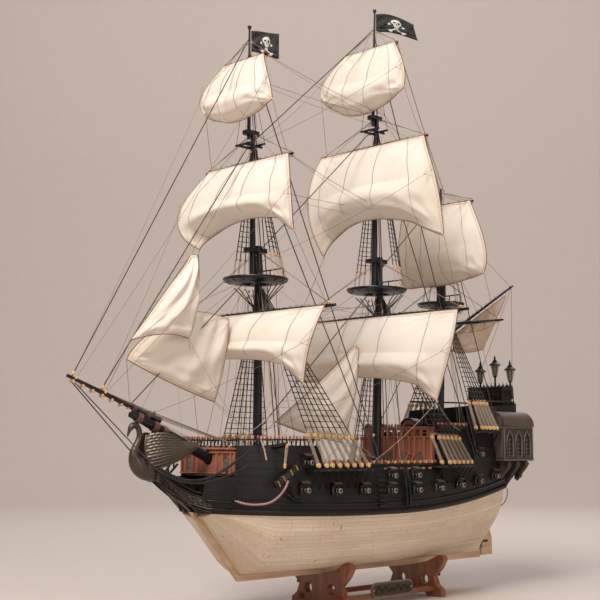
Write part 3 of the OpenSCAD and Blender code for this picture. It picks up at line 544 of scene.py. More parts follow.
class Finishes:
    """Every finish of the model, made once."""

    def __init__(self) -> None:
        """Makes the materials."""
        self.bottom = StrakedHull("pale_bottom_planks", (0.83, 0.72, 0.58), (0.63, 0.48, 0.34), (0.36, 0.23, 0.14),
                                  0.55, nicks=0.6, coat=0.03).make()
        self.side = StrakedHull("black_side_planks", (0.006, 0.0055, 0.005), (0.016, 0.013, 0.012),
                                (0.001, 0.001, 0.001), 0.34, shine=0.3).make()
        self.pale = Timber("pale_timber", (0.70, 0.50, 0.34), (0.50, 0.32, 0.19)).make()
        self.deck = Timber("deck_planks", (0.60, 0.42, 0.27), (0.42, 0.26, 0.15), board=0.0045).make()
        self.stand = Timber("stand_stain", (0.36, 0.125, 0.052), (0.16, 0.048, 0.02), Run.ALONG_Z,
                            roughness=0.36, gloss=0.35).make()
        self.stand_rail = Timber("stand_rail_stain", (0.34, 0.118, 0.05), (0.15, 0.045, 0.02),
                                 roughness=0.36, gloss=0.35).make()
        self.red = Timber("red_mahogany", (0.46, 0.17, 0.105), (0.26, 0.08, 0.05), Run.ALONG_Z,
                          board=0.0052, seam_dark=0.35, roughness=0.45, gloss=0.15).make()
        self.grating = Timber("grating_timber", (0.30, 0.15, 0.08), (0.16, 0.07, 0.035)).make()
        self.box = Timber("boxwood", (0.80, 0.52, 0.24), (0.58, 0.32, 0.12), roughness=0.4, gloss=0.2,
                          grain=3.0).make()
        self.black = BlackPaint("black_satin").make()
        self.spar = BlackPaint("spar_black", (0.006, 0.008, 0.010), (0.04, 0.045, 0.05), 0.3,
                               (90.0, 90.0, 10.0)).make()
        self.umber = BlackPaint("umber_paint", (0.055, 0.035, 0.026), (0.16, 0.11, 0.08), 0.4).make()
        self.grey = BlackPaint("weathered_panel", (0.13, 0.115, 0.095), (0.25, 0.22, 0.18), 0.5).make()
        self.roof = Timber("roof_brown", (0.115, 0.075, 0.052), (0.06, 0.036, 0.026), board=0.006,
                           seam_dark=0.5, roughness=0.5).make()
        self.bronze = CastMetal("antique_bronze", (0.42, 0.35, 0.25), (0.07, 0.054, 0.037), 0.38, 0.5).make()
        self.gilt = CastMetal("rubbed_gilt", (0.50, 0.42, 0.29), (0.10, 0.08, 0.055), 0.4, 0.5).make()
        self.brass = CastMetal("bell_brass", (0.78, 0.52, 0.18), (0.3, 0.17, 0.05), 0.25, 1.0).make()
        self.gun = CastMetal("gun_bronze", (0.34, 0.31, 0.27), (0.03, 0.027, 0.024), 0.38).make()
        self.iron = CastMetal("blackened_iron", (0.06, 0.055, 0.05), (0.012, 0.011, 0.010), 0.5, 0.6).make()
        self.tarred = Cordage("tarred_cord", (0.045, 0.031, 0.026), (0.010, 0.007, 0.006)).make()
        self.hemp = Cordage("beige_cord", (0.66, 0.53, 0.39), (0.40, 0.29, 0.19)).make()
        self.umber_cord = Cordage("brown_cord", (0.30, 0.19, 0.12), (0.10, 0.055, 0.035)).make()
        self.pink = Cordage("pink_cable", (0.50, 0.28, 0.28), (0.24, 0.11, 0.11)).make()
        self.wolding = Cordage("brown_wolding", (0.24, 0.10, 0.075), (0.08, 0.03, 0.02)).make()
        self.canvas = Canvas("cream_canvas", (0.85, 0.765, 0.675), (0.76, 0.655, 0.545), (0.44, 0.24, 0.13)).make()
        self.old_canvas = Canvas("brown_canvas", (0.60, 0.47, 0.37), (0.46, 0.34, 0.25), (0.34, 0.15, 0.07)).make()
        self.flag = Bunting("black_bunting").make()
        self.pane = Plain("dark_pane", (0.028, 0.030, 0.030), 0.12).make()
        # the lantern panes give off a faint glow in their own tone: painted light
        self.smoked = Plain("smoked_pane_painted_glow", (0.34, 0.27, 0.19), 0.2, 0.05).make()


# ---------------------------------------------------------------- mesh helpers


def paint(obj: bpy.types.Object, material: bpy.types.Material) -> None:
    """Gives a piece one material."""
    obj.data.materials.clear()
    obj.data.materials.append(material)


def settle(obj: bpy.types.Object, material: bpy.types.Material, body: str,
           replaced: tuple[str, ...] = ()) -> bpy.types.Object:
    """Finishes a piece: its paint, its body and the nodes it stands for.

    Args:
        obj: the piece, at the origin.
        material: its finish.
        body: the CAD body that it rides on.
        replaced: CAD nodes that it stands for.
    Returns:
        The piece.
    """
    paint(obj, material)
    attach(obj, body)
    if replaced:
        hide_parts(*replaced)
    log.info("%s: %d faces", obj.name, len(obj.data.polygons))
    return obj


class Shape:
    """Points and faces gathered into one piece, with a UV map and named point values."""

    def __init__(self, name: str) -> None:
        """Starts an empty shape."""
        self.name = name
        self.points: list[Vector] = []
        self.faces: list[tuple[int, ...]] = []
        self.uvs: list[tuple[tuple[float, float], ...]] = []
        self.values: dict[str, list[float]] = {}

    def quad(self, corners: tuple[int, ...], uvs: tuple[tuple[float, float], ...] | None = None) -> None:
        """Adds one face with its UV corners."""
        self.faces.append(corners)
        self.uvs.append(uvs or tuple((0.0, 0.0) for _ in corners))

    def tube(self, path: list[Vector], radius: float | list[float], sides: int = 6) -> None:
        """Adds a closed round bar along a path.

        Args:
            path: its centreline, in metres.
            radius: its radius in metres, or one for each point of the path.
            sides: its sides.
        """
        radii = radius if isinstance(radius, list) else [radius] * len(path)
        start = len(self.points)
        run = 0.0
        runs = []
        count = len(path)
        for i, at in enumerate(path):
            way = (path[min(i + 1, count - 1)] - path[max(i - 1, 0)]).normalized()
            side = way.cross(Vector((0.21, 0.13, 1.0))).normalized()
            up = side.cross(way)
            if i:
                run += (at - path[i - 1]).length
            runs.append(run / (2 * radii[0]) * 0.25)
            for k in range(sides):
                a = k * math.tau / sides
                self.points.append(at + (side * math.cos(a) + up * math.sin(a)) * radii[i])
        for i in range(count - 1):
            for k in range(sides):
                a, b = start + i * sides + k, start + i * sides + (k + 1) % sides
                u0, u1 = k / sides, (k + 1) / sides
                self.quad((a, b, b + sides, a + sides),
                          ((u0, runs[i]), (u1, runs[i]), (u1, runs[i + 1]), (u0, runs[i + 1])))
        self.quad(tuple(start + k for k in reversed(range(sides))))
        self.quad(tuple(start + (count - 1) * sides + k for k in range(sides)))

    def slab(self, grid: list[list[Vector]], push: Vector) -> None:
        """Adds a closed slab over a grid of points.

        Args:
            grid: rows of points, in millimetres.
            push: the way and the distance to its other face, in millimetres.
        """
        start, rows, cols = len(self.points), len(grid), len(grid[0])
        n = rows * cols
        self.points += [p * MM for row in grid for p in row] + [(p + push) * MM for row in grid for p in row]
        for j in range(rows - 1):
            for i in range(cols - 1):
                a = start + j * cols + i
                self.quad((a, a + 1, a + cols + 1, a + cols))
                self.quad((a + n, a + n + cols, a + n + cols + 1, a + n + 1))
        rim = [*range(cols), *[j * cols + cols - 1 for j in range(1, rows)],
               *[(rows - 1) * cols + i for i in range(cols - 2, -1, -1)], *[j * cols for j in range(rows - 2, 0, -1)]]
        for a, b in zip(rim, rim[1:] + rim[:1]):
            self.quad((start + a, start + a + n, start + b + n, start + b))

    def add(self, mesh: bpy.types.Mesh, place: Matrix) -> None:
        """Adds a copy of a mesh at a place."""
        start = len(self.points)
        self.points.extend(place @ v.co for v in mesh.vertices)
        for face in mesh.polygons:
            self.quad(tuple(start + i for i in face.vertices))

    def fit(self, finish: bpy.types.Material, slot: str, *nodes: str, smooth: float = 60.0,
            body: str = "ship") -> bpy.types.Object:
        """Makes the piece and settles it.

        Args:
            finish: its finish.
            slot: not used.
            nodes: CAD nodes that it stands for.
            smooth: edges flatter than this many degrees are shaded smooth.
            body: the CAD body that it rides on.
        Returns:
            The object, at the origin.
        """
        return settle(self.build(smooth), finish, body, nodes)

    def build(self, smooth: float) -> bpy.types.Object:
        """Makes the bare piece.

        Args:
            smooth: edges flatter than this many degrees are shaded smooth.
        Returns:
            The object, at the origin.
        """
        mesh = bpy.data.meshes.new(self.name)
        mesh.from_pydata([tuple(p) for p in self.points], [], self.faces)
        layer = mesh.uv_layers.new(name="UVMap")
        flat = [c for corners in self.uvs for c in corners]
        layer.data.foreach_set("uv", [x for c in flat for x in c])
        for key, numbers in self.values.items():
            mesh.attributes.new(key, "FLOAT", "POINT").data.foreach_set("value", numbers)
        mesh.validate()
        obj = bpy.data.objects.new(self.name, mesh)
        bpy.context.scene.collection.objects.link(obj)
        Bench.only(obj)
        bpy.ops.object.shade_smooth_by_angle(angle=math.radians(smooth))
        return obj


class Bench:
    """Hand modelling: primitives, edit-mode operators and modifiers applied."""

    @staticmethod
    def only(obj: bpy.types.Object | None) -> None:
        """Deselects everything but one object."""
        bpy.ops.object.select_all(action="DESELECT")
        bpy.context.view_layer.objects.active = obj
        if obj is not None:
            obj.select_set(True)

    @staticmethod
    def edit(obj: bpy.types.Object, pick: object) -> None:
        """Enters edit mode with only the faces chosen by pick selected.

        Args:
            obj: the object.
            pick: a test on a bmesh face.
        """
        Bench.only(obj)
        bpy.ops.object.mode_set(mode="EDIT")
        bpy.ops.mesh.select_mode(type="FACE")
        bpy.ops.mesh.select_all(action="DESELECT")
        cage = bmesh.from_edit_mesh(obj.data)
        for face in cage.faces:
            face.select_set(bool(pick(face)))
        bmesh.update_edit_mesh(obj.data)

    @staticmethod
    def leave() -> None:
        """Back to object mode."""
        bpy.ops.object.mode_set(mode="OBJECT")

    @staticmethod
    def modify(obj: bpy.types.Object, kind: str, **settings: object) -> None:
        """Adds a modifier and applies it."""
        Bench.only(obj)
        made = obj.modifiers.new(kind.title(), kind)
        for key, value in settings.items():
            setattr(made, key, value)
        bpy.ops.object.modifier_apply(modifier=made.name)

    @staticmethod
    def box(name: str, size: Point, bevel: float = 0.0) -> bpy.types.Object:
        """A block about the origin, sizes in millimetres, with its edges rounded."""
        Bench.only(None)
        bpy.ops.mesh.primitive_cube_add(size=1.0)
        obj = bpy.context.object
        obj.name = name
        obj.data.transform(Matrix.Diagonal((*[s * MM for s in size], 1.0)))
        if bevel:
            Bench.modify(obj, "BEVEL", width=bevel * MM, segments=2)
        return obj

    @staticmethod
    def drum(name: str, radius: float, depth: float, sides: int = 16, bevel: float = 0.0) -> bpy.types.Object:
        """A drum about the Z axis, sizes in millimetres, with its rims rounded."""
        Bench.only(None)
        bpy.ops.mesh.primitive_cylinder_add(vertices=sides, radius=radius * MM, depth=depth * MM)
        obj = bpy.context.object
        obj.name = name
        if bevel:
            Bench.modify(obj, "BEVEL", width=bevel * MM, segments=2, limit_method="ANGLE")
        return obj

    @staticmethod
    def turned(name: str, profile: tuple[tuple[float, float], ...], sides: int = 18) -> bpy.types.Object:
        """A turned solid about the Z axis.

        Args:
            name: its name.
            profile: radius and height of each step, in millimetres, from the foot up.
            sides: its sides.
        Returns:
            The object.
        """
        Bench.only(None)
        bpy.ops.mesh.primitive_circle_add(vertices=sides, radius=profile[0][0] * MM, fill_type="NGON")
        obj = bpy.context.object
        obj.name = name
        obj.data.transform(Matrix.Translation((0, 0, profile[0][1] * MM)))
        bpy.ops.object.mode_set(mode="EDIT")
        bpy.ops.mesh.select_all(action="SELECT")
        for (r0, z0), (r1, z1) in zip(profile, profile[1:]):
            bpy.ops.mesh.extrude_region_move(TRANSFORM_OT_translate={"value": (0, 0, (z1 - z0) * MM)})
            bpy.ops.transform.resize(value=(r1 / r0, r1 / r0, 1), center_override=(0, 0, z1 * MM))
        bpy.ops.mesh.select_all(action="SELECT")
        bpy.ops.mesh.normals_make_consistent(inside=False)
        Bench.leave()
        return obj

    @staticmethod
    def take(obj: bpy.types.Object) -> bpy.types.Mesh:
        """Keeps an object's mesh as a pattern and removes the object."""
        mesh = obj.data
        bpy.data.objects.remove(obj)
        return mesh


def aim(at: Vector, way: Vector, scale: Point = (1, 1, 1)) -> Matrix:
    """A place at a point with Z along a direction."""
    turn = way.to_track_quat("Z", "Y").to_matrix().to_4x4()
    return Matrix.Translation(at) @ turn @ Matrix.Diagonal((*scale, 1.0))


# ---------------------------------------------------------------- control nets, rows from the head down
FORE_TOPGALLANT_NET = (
    ((4, -32, 0), (4, -10, 0), (4, 12, 0), (4, 34, 0)),
    ((12, -50, -18), (26, -20, -16), (26, 15, -18), (10, 42, -20)),
    ((18, -74, -40), (34, -30, -48), (34, 20, -48), (12, 54, -36)),
    ((12, -54, -54), (16, -24, -86), (16, 20, -74), (8, 52, -56)))
MAIN_TOPGALLANT_NET = (
    ((4, -40, 0), (4, -12, 0), (4, 18, 0), (4, 42, 0)),
    ((12, -62, -20), (28, -20, -24), (28, 25, -26), (10, 58, -24)),
    ((16, -81, -37), (38, -34, -52), (36, 24, -58), (12, 68, -40)),
    ((12, -75, -50), (14, -44, -100), (14, 14, -92), (8, 60, -62)))
FORE_TOPSAIL_NET = (
    ((4, -62, 0), (4, -20, 0), (4, 25, 0), (4, 68, 0)),
    ((12, -82, -20), (30, -24, -28), (32, 24, -28), (12, 78, -24)),
    ((22, -140, -58), (44, -30, -50), (44, 26, -50), (18, 86, -50)),
    ((12, -68, -90), (12, -46, -66), (12, 30, -58), (8, 80, -86)))
MAIN_TOPSAIL_NET = (
    ((4, -84, 0), (4, -30, 0), (4, 30, 0), (4, 86, 0)),
    ((14, -100, -30), (34, -30, -32), (34, 30, -32), (14, 98, -28)),
    ((22, -106, -76), (46, -30, -60), (46, 34, -60), (22, 122, -54)),
    ((10, -74, -130), (12, -50, -82), (12, 20, -88), (10, 118, -126)))
MIZZEN_TOPSAIL_NET = (
    ((4, -54, 0), (4, -18, 0), (4, 18, 0), (4, 56, 0)),
    ((12, -58, -30), (28, -18, -32), (28, 20, -32), (12, 72, -28)),
    ((16, -58, -70), (36, -18, -70), (36, 22, -70), (16, 98, -70)),
    ((10, -48, -104), (12, -14, -112), (12, 24, -114), (10, 80, -96)))
FORE_COURSE_NET = (
    ((5, -118, 0), (5, -40, 0), (5, 40, 0), (5, 118, 0)),
    ((14, -126, -16), (32, -40, -18), (32, 40, -18), (14, 114, -20)),
    ((20, -124, -34), (44, -40, -38), (44, 40, -36), (20, 106, -42)),
    ((10, -116, -48), (14, -40, -56), (14, 40, -48), (10, 92, -80)))
MAIN_COURSE_NET = (
    ((5, -134, 0), (5, -45, 0), (5, 45, 0), (5, 134, 0)),
    ((14, -132, -20), (34, -45, -24), (34, 45, -24), (14, 138, -24)),
    ((20, -128, -46), (46, -45, -52), (46, 45, -52), (20, 132, -56)),
    ((10, -112, -74), (14, -45, -78), (14, 50, -72), (10, 106, -104)))
OUTER_JIB_NET = (
    ((202, 5, 378), (200, 7, 379), (198, 8, 379), (195, 9, 377)),
    ((224, 5, 350), (212, 19, 348), (202, 21, 344), (194, 11, 342)),
    ((252, 5, 316), (234, 25, 314), (216, 27, 308), (198, 13, 308)),
    ((278, 5, 284), (256, 19, 292), (234, 19, 294), (207, 9, 290)))
FORE_STAYSAIL_NET = (
    ((202, -14, 320), (180, -10, 323), (160, -6, 321), (138, -6, 316)),
    ((234, -14, 300), (206, 12, 298), (178, 16, 292), (146, 2, 286)),
    ((262, -12, 282), (228, 18, 262), (190, 20, 254), (156, 4, 250)),
    ((270, -12, 266), (236, 2, 246), (196, 2, 234), (160, -4, 226)))
MAIN_STAYSAIL_NET = (
    ((-50, 2, 296), (-52, 3, 297), (-54, 4, 297), (-57, 6, 295)),
    ((-10, 2, 262), (-24, 12, 254), (-38, 16, 248), (-52, 10, 244)),
    ((36, 2, 232), (14, 12, 222), (-14, 14, 214), (-42, 8, 210)),
    ((76, 2, 206), (46, 6, 196), (8, 6, 188), (-28, 4, 184)))
SPANKER_NET = (
    ((-240, 4, 321), (-270, 9, 341), (-304, 15, 362), (-336, 21, 382)),
    ((-240, 6, 314), (-262, 20, 328), (-294, 28, 344), (-324, 24, 364)),
    ((-240, 6, 308), (-258, 22, 314), (-284, 26, 324), (-308, 20, 340)),
    ((-240, 4, 302), (-254, 10, 300), (-276, 12, 302), (-298, 10, 308)))
FORE_FLAG_NET = (
    ((0, 0, 0), (-10, 5, 2), (-16, 16, -4), (-24, 20, -2)),
    ((0, 0, -8), (-10, 5, -6), (-16, 16, -12), (-24, 20, -12)),
    ((0, 0, -16), (-10, 5, -16), (-16, 16, -22), (-24, 20, -22)),
    ((0, 0, -24), (-10, 5, -24), (-16, 16, -32), (-24, 20, -32)))
MAIN_FLAG_NET = (
    ((0, 0, 0), (-12, 10, 4), (-22, 24, -6), (-32, 34, -14)),
    ((0, 0, -8), (-12, 10, -4), (-22, 24, -14), (-34, 34, -22)),
    ((0, 0, -16), (-12, 10, -12), (-22, 24, -20), (-36, 35, -28)),
    ((0, 0, -24), (-12, 10, -20), (-22, 24, -28), (-38, 36, -34)))


# ---------------------------------------------------------------- the hull's form, as the CAD states it


class Hull:
    """The ship's form in millimetres: every fitting takes its place from these.

    Each mast is its foot's place and its rake in degrees. The side runs up aft of COUNTER, and ARM is the
    share of a yard's half-length where its ropes are made fast.
    """

    FORE, MAIN, MIZZEN = (101.0, 0.1), (-95.0, 1.9), (-217.0, 3.0)
    COUNTER = -296
    ARM = 0.93

    @staticmethod
    def wale_z(x: float) -> float:
        """Height of the wale."""
        if x > -40:
            return lerp(104, 111, unit((x + 40) / 235) ** 2)
        return lerp(104, 126, unit((-40 - x) / 253) ** 2)

    @staticmethod
    def wale_half(x: float) -> float:
        """Half-breadth at the wale."""
        if x > 40:
            return 72 * max(0.0, 1 - ((x - 40) / 157) ** 2.4) ** 0.6
        return 72 - 28 * unit((-60 - x) / 233) ** 1.6 if x < -60 else 72.0

    @classmethod
    def rail_half(cls, x: float) -> float:
        """Half-breadth at the rail."""
        if x > 40:
            return 66 * max(0.0, 1 - ((x - 40) / 166) ** 3) ** 0.6
        return cls.wale_half(max(x, cls.COUNTER)) - 6 - 6 * unit((-60 - x) / 278)

    @staticmethod
    def rail_z(x: float) -> float:
        """Height of the bulwark's top."""
        for limit, height in ((172, 148), (70, 180), (-138, 158), (-214, 198)):
            if x > limit:
                return height
        return 226 + 0.08 * (-214 - x)

    @classmethod
    def bottom(cls, x: float, s: float, inset: float = 0.0) -> Point:
        """A point of the bottom, s from 0 at the keel to 1 at the wale."""
        wale = cls.wale_z(x)
        low = min(min(44.4 + max(0, x - 129) * 1.136, wale - 5) + inset, wale - 2)
        full = 0.75 + (unit((x - 40) / 155) ** 1.5 if x > 40 else 2.25 * unit((-60 - x) / 233) ** 1.8)
        y = 2.5 + (cls.wale_half(x) - inset - 2.5) * math.sin(math.pi / 2 * s) ** full
        return x, y, low + (wale - low) * (1 - math.cos(math.pi / 2 * s))

    @classmethod
    def side_low(cls, x: float) -> float:
        """Height of the topside's lower edge."""
        return cls.wale_z(max(x, cls.COUNTER)) + 0.3 + 28 * unit((cls.COUNTER - x) / 42) ** 0.8

    @classmethod
    def side(cls, x: float, s: float) -> float:
        """Half-breadth of the topside, s from 0 at the wale to 1 at the rail."""
        drop = 28 * unit((cls.COUNTER - x) / 42) ** 0.8
        low = lerp(cls.wale_half(max(x, cls.COUNTER)), cls.rail_half(x), drop / 100)
        return lerp(low, cls.rail_half(x), s) + 2.5 * math.sin(math.pi * s)

    @classmethod
    def side_at(cls, x: float, z: float) -> float:
        """Half-breadth of the topside at a height."""
        low = cls.side_low(x)
        return cls.side(x, unit((z - low) / (cls.rail_z(x) - low)))

    @staticmethod
    def mast(which: tuple[float, float], z: float, ahead: float = 0.0) -> Vector:
        """A point on a mast's line, in millimetres."""
        foot, rake = which
        return Vector((foot - math.tan(math.radians(rake)) * (z - 180) + ahead, 0, z))


FORE_GANG = [(lerp(8, 88, i / 7), 152.5, 187.0) for i in range(8)]
MAIN_GANG = [(lerp(-188, -128, i / 6), 154.5, 186.0) for i in range(7)]
MIZZEN_GANG = [(lerp(-262, -212, i / 5), 196.0, 229.0) for i in range(6)]
GANGS = ((FORE_GANG, Hull.FORE, 357.0), (MAIN_GANG, Hull.MAIN, 364.0), (MIZZEN_GANG, Hull.MIZZEN, 357.0))
GUN_PORTS = [(100 - 45 * i, Hull.wale_z(100 - 45 * i) + 27 - 6 * unit((45 * i - 100) / 300)) for i in range(9)]
GUN_PORTS += [(94, 162), (-39, 146.5), (-82, 146.5), (-222, 170)]
FORE_YARD, MAIN_YARD = Hull.mast(Hull.FORE, 323, 11), Hull.mast(Hull.MAIN, 334, 11)
CROSSJACK = Hull.mast(Hull.MIZZEN, 334, 11)
FORE_TOPSAIL_YARD, MAIN_TOPSAIL_YARD = Hull.mast(Hull.FORE, 491, 16), Hull.mast(Hull.MAIN, 546, 16)
MIZZEN_TOPSAIL_YARD = Hull.mast(Hull.MIZZEN, 490, 15)
FORE_TOPGALLANT_YARD, MAIN_TOPGALLANT_YARD = Hull.mast(Hull.FORE, 608, 21), Hull.mast(Hull.MAIN, 671, 21)


def side_point(x: float, z: float, proud: float = 0.0, side: int = 1) -> Vector:
    """A point on the topside, in metres.

    Args:
        x: place along the hull in millimetres.
        z: height in millimetres.
        proud: distance out from the planking in millimetres.
        side: 1 for port and -1 for starboard.
    Returns:
        The point.
    """
    return vec(x, side * (Hull.side_at(x, z) + proud), z)


@dataclass
class Planking:
    """Smooth outer skins for the bottom, the topsides and the wales."""

    look: Finishes
    columns: int = 260
    bottom_thick: float = 2.2
    side_thick: float = 3

    def build(self) -> None:
        """Makes the three skins."""
        self.bottom()
        self.topsides()
        self.wales()

    def bottom(self) -> None:
        """Pale planked bottom, 2.2 mm thick, one shell a side."""
        for side, name in ((1, "bottom_port"), (-1, "bottom_starboard")):
            shape = Shape(name)
            rows = 30
            for i in range(self.columns + 1):
                x = lerp(-288.6, 187, i / self.columns)
                ring = [Hull.bottom(x, j / rows) for j in range(rows + 1)]
                ring += [Hull.bottom(x, j / rows, self.bottom_thick) for j in range(rows, -1, -6)]
                ring = [(x, 0.3, ring[0][2])] + ring + [(x, 0.3, ring[-1][2])]
                shape.points += [vec(p[0], side * p[1], p[2]) for p in ring]
            self.skin(shape, self.columns + 1, lambda i, j: (i * 0.0183, (j - 1) * 0.72), side)
            shape.fit(self.look.bottom, "pale_plank", "lower_planking", smooth=40)

    def topsides(self) -> None:
        """Black planked sides, 3 mm thick, stepped up at each deck."""
        steps = sorted({*[lerp(-335, 195, i / self.columns) for i in range(self.columns + 1)],
                        *[edge + d for edge in (172, 70, -138, -214) for d in (-0.5, 0.5)]})
        for side, name in ((1, "topside_port"), (-1, "topside_starboard")):
            shape = Shape(name)
            rows = 20
            for x in steps:
                low, top = Hull.side_low(x), Hull.rail_z(x)
                outer = [(Hull.side(x, j / rows), lerp(low, top, j / rows)) for j in range(rows + 1)]
                inner = [(max(y - self.side_thick, 2.7), z) for y, z in reversed(outer[::4])]
                shape.points += [vec(x, side * y, z) for y, z in outer + inner]
            self.skin(shape, len(steps), lambda i, j: (i * 0.021, j * 0.45), side)
            shape.fit(self.look.side, "black_paint", "topsides", smooth=25)

    def wales(self) -> None:
        """Two rounded rubbing bands along each side."""
        for low, high, proud in ((0.5, 6, 2.6), (11, 14, 2.0)):
            for side, word in SIDES:
                shape = Shape(f"wale_{word}_{int(high)}")
                for i in range(self.columns + 1):
                    x = lerp(-292, 192, i / self.columns)
                    z0 = Hull.wale_z(max(x, Hull.COUNTER)) + low
                    z1 = z0 + high - low
                    ring = [(0.2, z0), (proud * 0.6, z0), (proud, z0 + 0.6), (proud + 0.15, (z0 + z1) / 2),
                            (proud, z1 - 0.6), (proud * 0.6, z1), (0.2, z1)]
                    shape.points += [side_point(x, z, out, side) for out, z in ring]
                self.skin(shape, self.columns + 1, lambda i, j: (i * 0.02, 0.5), side)
                shape.fit(self.look.side, "black_paint", "wales")

    @staticmethod
    def skin(shape: Shape, rings: int, uv: object, side: int) -> None:
        """Joins equal rings of points into a closed skin.

        Args:
            shape: the shape, with its points in rings.
            rings: how many rings it has.
            uv: gives a corner's UV from its ring and its place on the ring.
            side: 1 or -1, which turns the faces outwards.
        """
        n = len(shape.points) // rings
        for i in range(rings - 1):
            for j in range(n):
                k = (j + 1) % n
                face = ((i, j), (i + 1, j), (i + 1, j + 1), (i, j + 1))
                corners = [i * n + j, (i + 1) * n + j, (i + 1) * n + k, i * n + k]
                places = [uv(a, b) for a, b in face]
                if side > 0:
                    corners.reverse()
                    places.reverse()
                shape.quad(tuple(corners), tuple(places))
        first = tuple(range(n))
        last = tuple(range((rings - 1) * n, rings * n))
        shape.quad(first if side > 0 else first[::-1])
        shape.quad(last[::-1] if side > 0 else last)


# ---------------------------------------------------------------- free cords and cloth


def rounded(route: list[Vector], steps: int = 8) -> list[Vector]:
    """A smooth path through every point of a route."""
    ends = [route[0] * 2 - route[1], *route, route[-1] * 2 - route[-2]]
    path = []
    for i in range(1, len(ends) - 2):
        a, b, c, d = ends[i - 1:i + 3]
        for k in range(steps):
            t = k / steps
            path.append(b + (c - a) * (0.5 * t) + (a * 2 - b * 5 + c * 4 - d) * (0.5 * t * t)
                        + (b * 3 - a - c * 3 + d) * (0.5 * t ** 3))
    return [*path, route[-1]]


def path_length(path: list[Vector]) -> float:
    """The length of a path, in metres."""
    return sum((b - a).length for a, b in zip(path, path[1:]))


@dataclass
class FreeCords:
    """The slack ropes: anchor cables from the hawse holes, and pendants from the counter to the sternpost."""

    look: Finishes
    cable: tuple[Point, ...] = ((172, 43, 124), (165, 51, 121), (155, 58, 120), (145, 66, 122), (138, 72, 128),
                                (133, 76, 136), (129, 77, 144))
    pendant: tuple[Point, ...] = ((-299, 43, 126), (-304, 40, 118), (-306, 34, 108), (-303, 26, 101),
                                  (-298, 17, 98), (-294, 9, 102), (-291, 4.2, 112))

    def build(self) -> None:
        for side, word in SIDES:
            self.one(f"anchor_cable_{word}", self.cable, side, 2.2, self.look.pink, "pink_rope", "anchor_cables")
            self.one(f"rudder_pendant_{word}", self.pendant, side, 1.2, self.look.umber_cord, "dark_rope",
                     "rudder_pendants")

    def one(self, name: str, route: tuple[Point, ...], side: int, thick: float, finish: bpy.types.Material,
            slot: str, node: str) -> None:
        """Makes one cord.

        Args:
            name: the piece's name.
            route: the points it follows on the port side, in millimetres.
            side: 1 for port and -1 for starboard.
            thick: its diameter in millimetres.
            finish: its material.
            slot: not used; it is handed on to Shape.fit, which ignores it.
            node: the CAD node it stands for.
        """
        path = rounded([vec(x, side * y, z) for x, y, z in route], 10)
        shape = Shape(name)
        shape.tube(path, thick * MM / 2, 12)
        cord = shape.fit(finish, slot, node)
        tuple(path[0])
        path_length(path)
        [tuple(p) for p in path]


@dataclass(frozen=True)
class SailPlan:
    """One sail: its net of control points and how it is fitted."""

    name: str
    net: tuple
    origin: Vector
    lift: Vector
    held: str = "stretched"
    old: bool = False
    roll: float = 0.0
    slack: float = 1.0


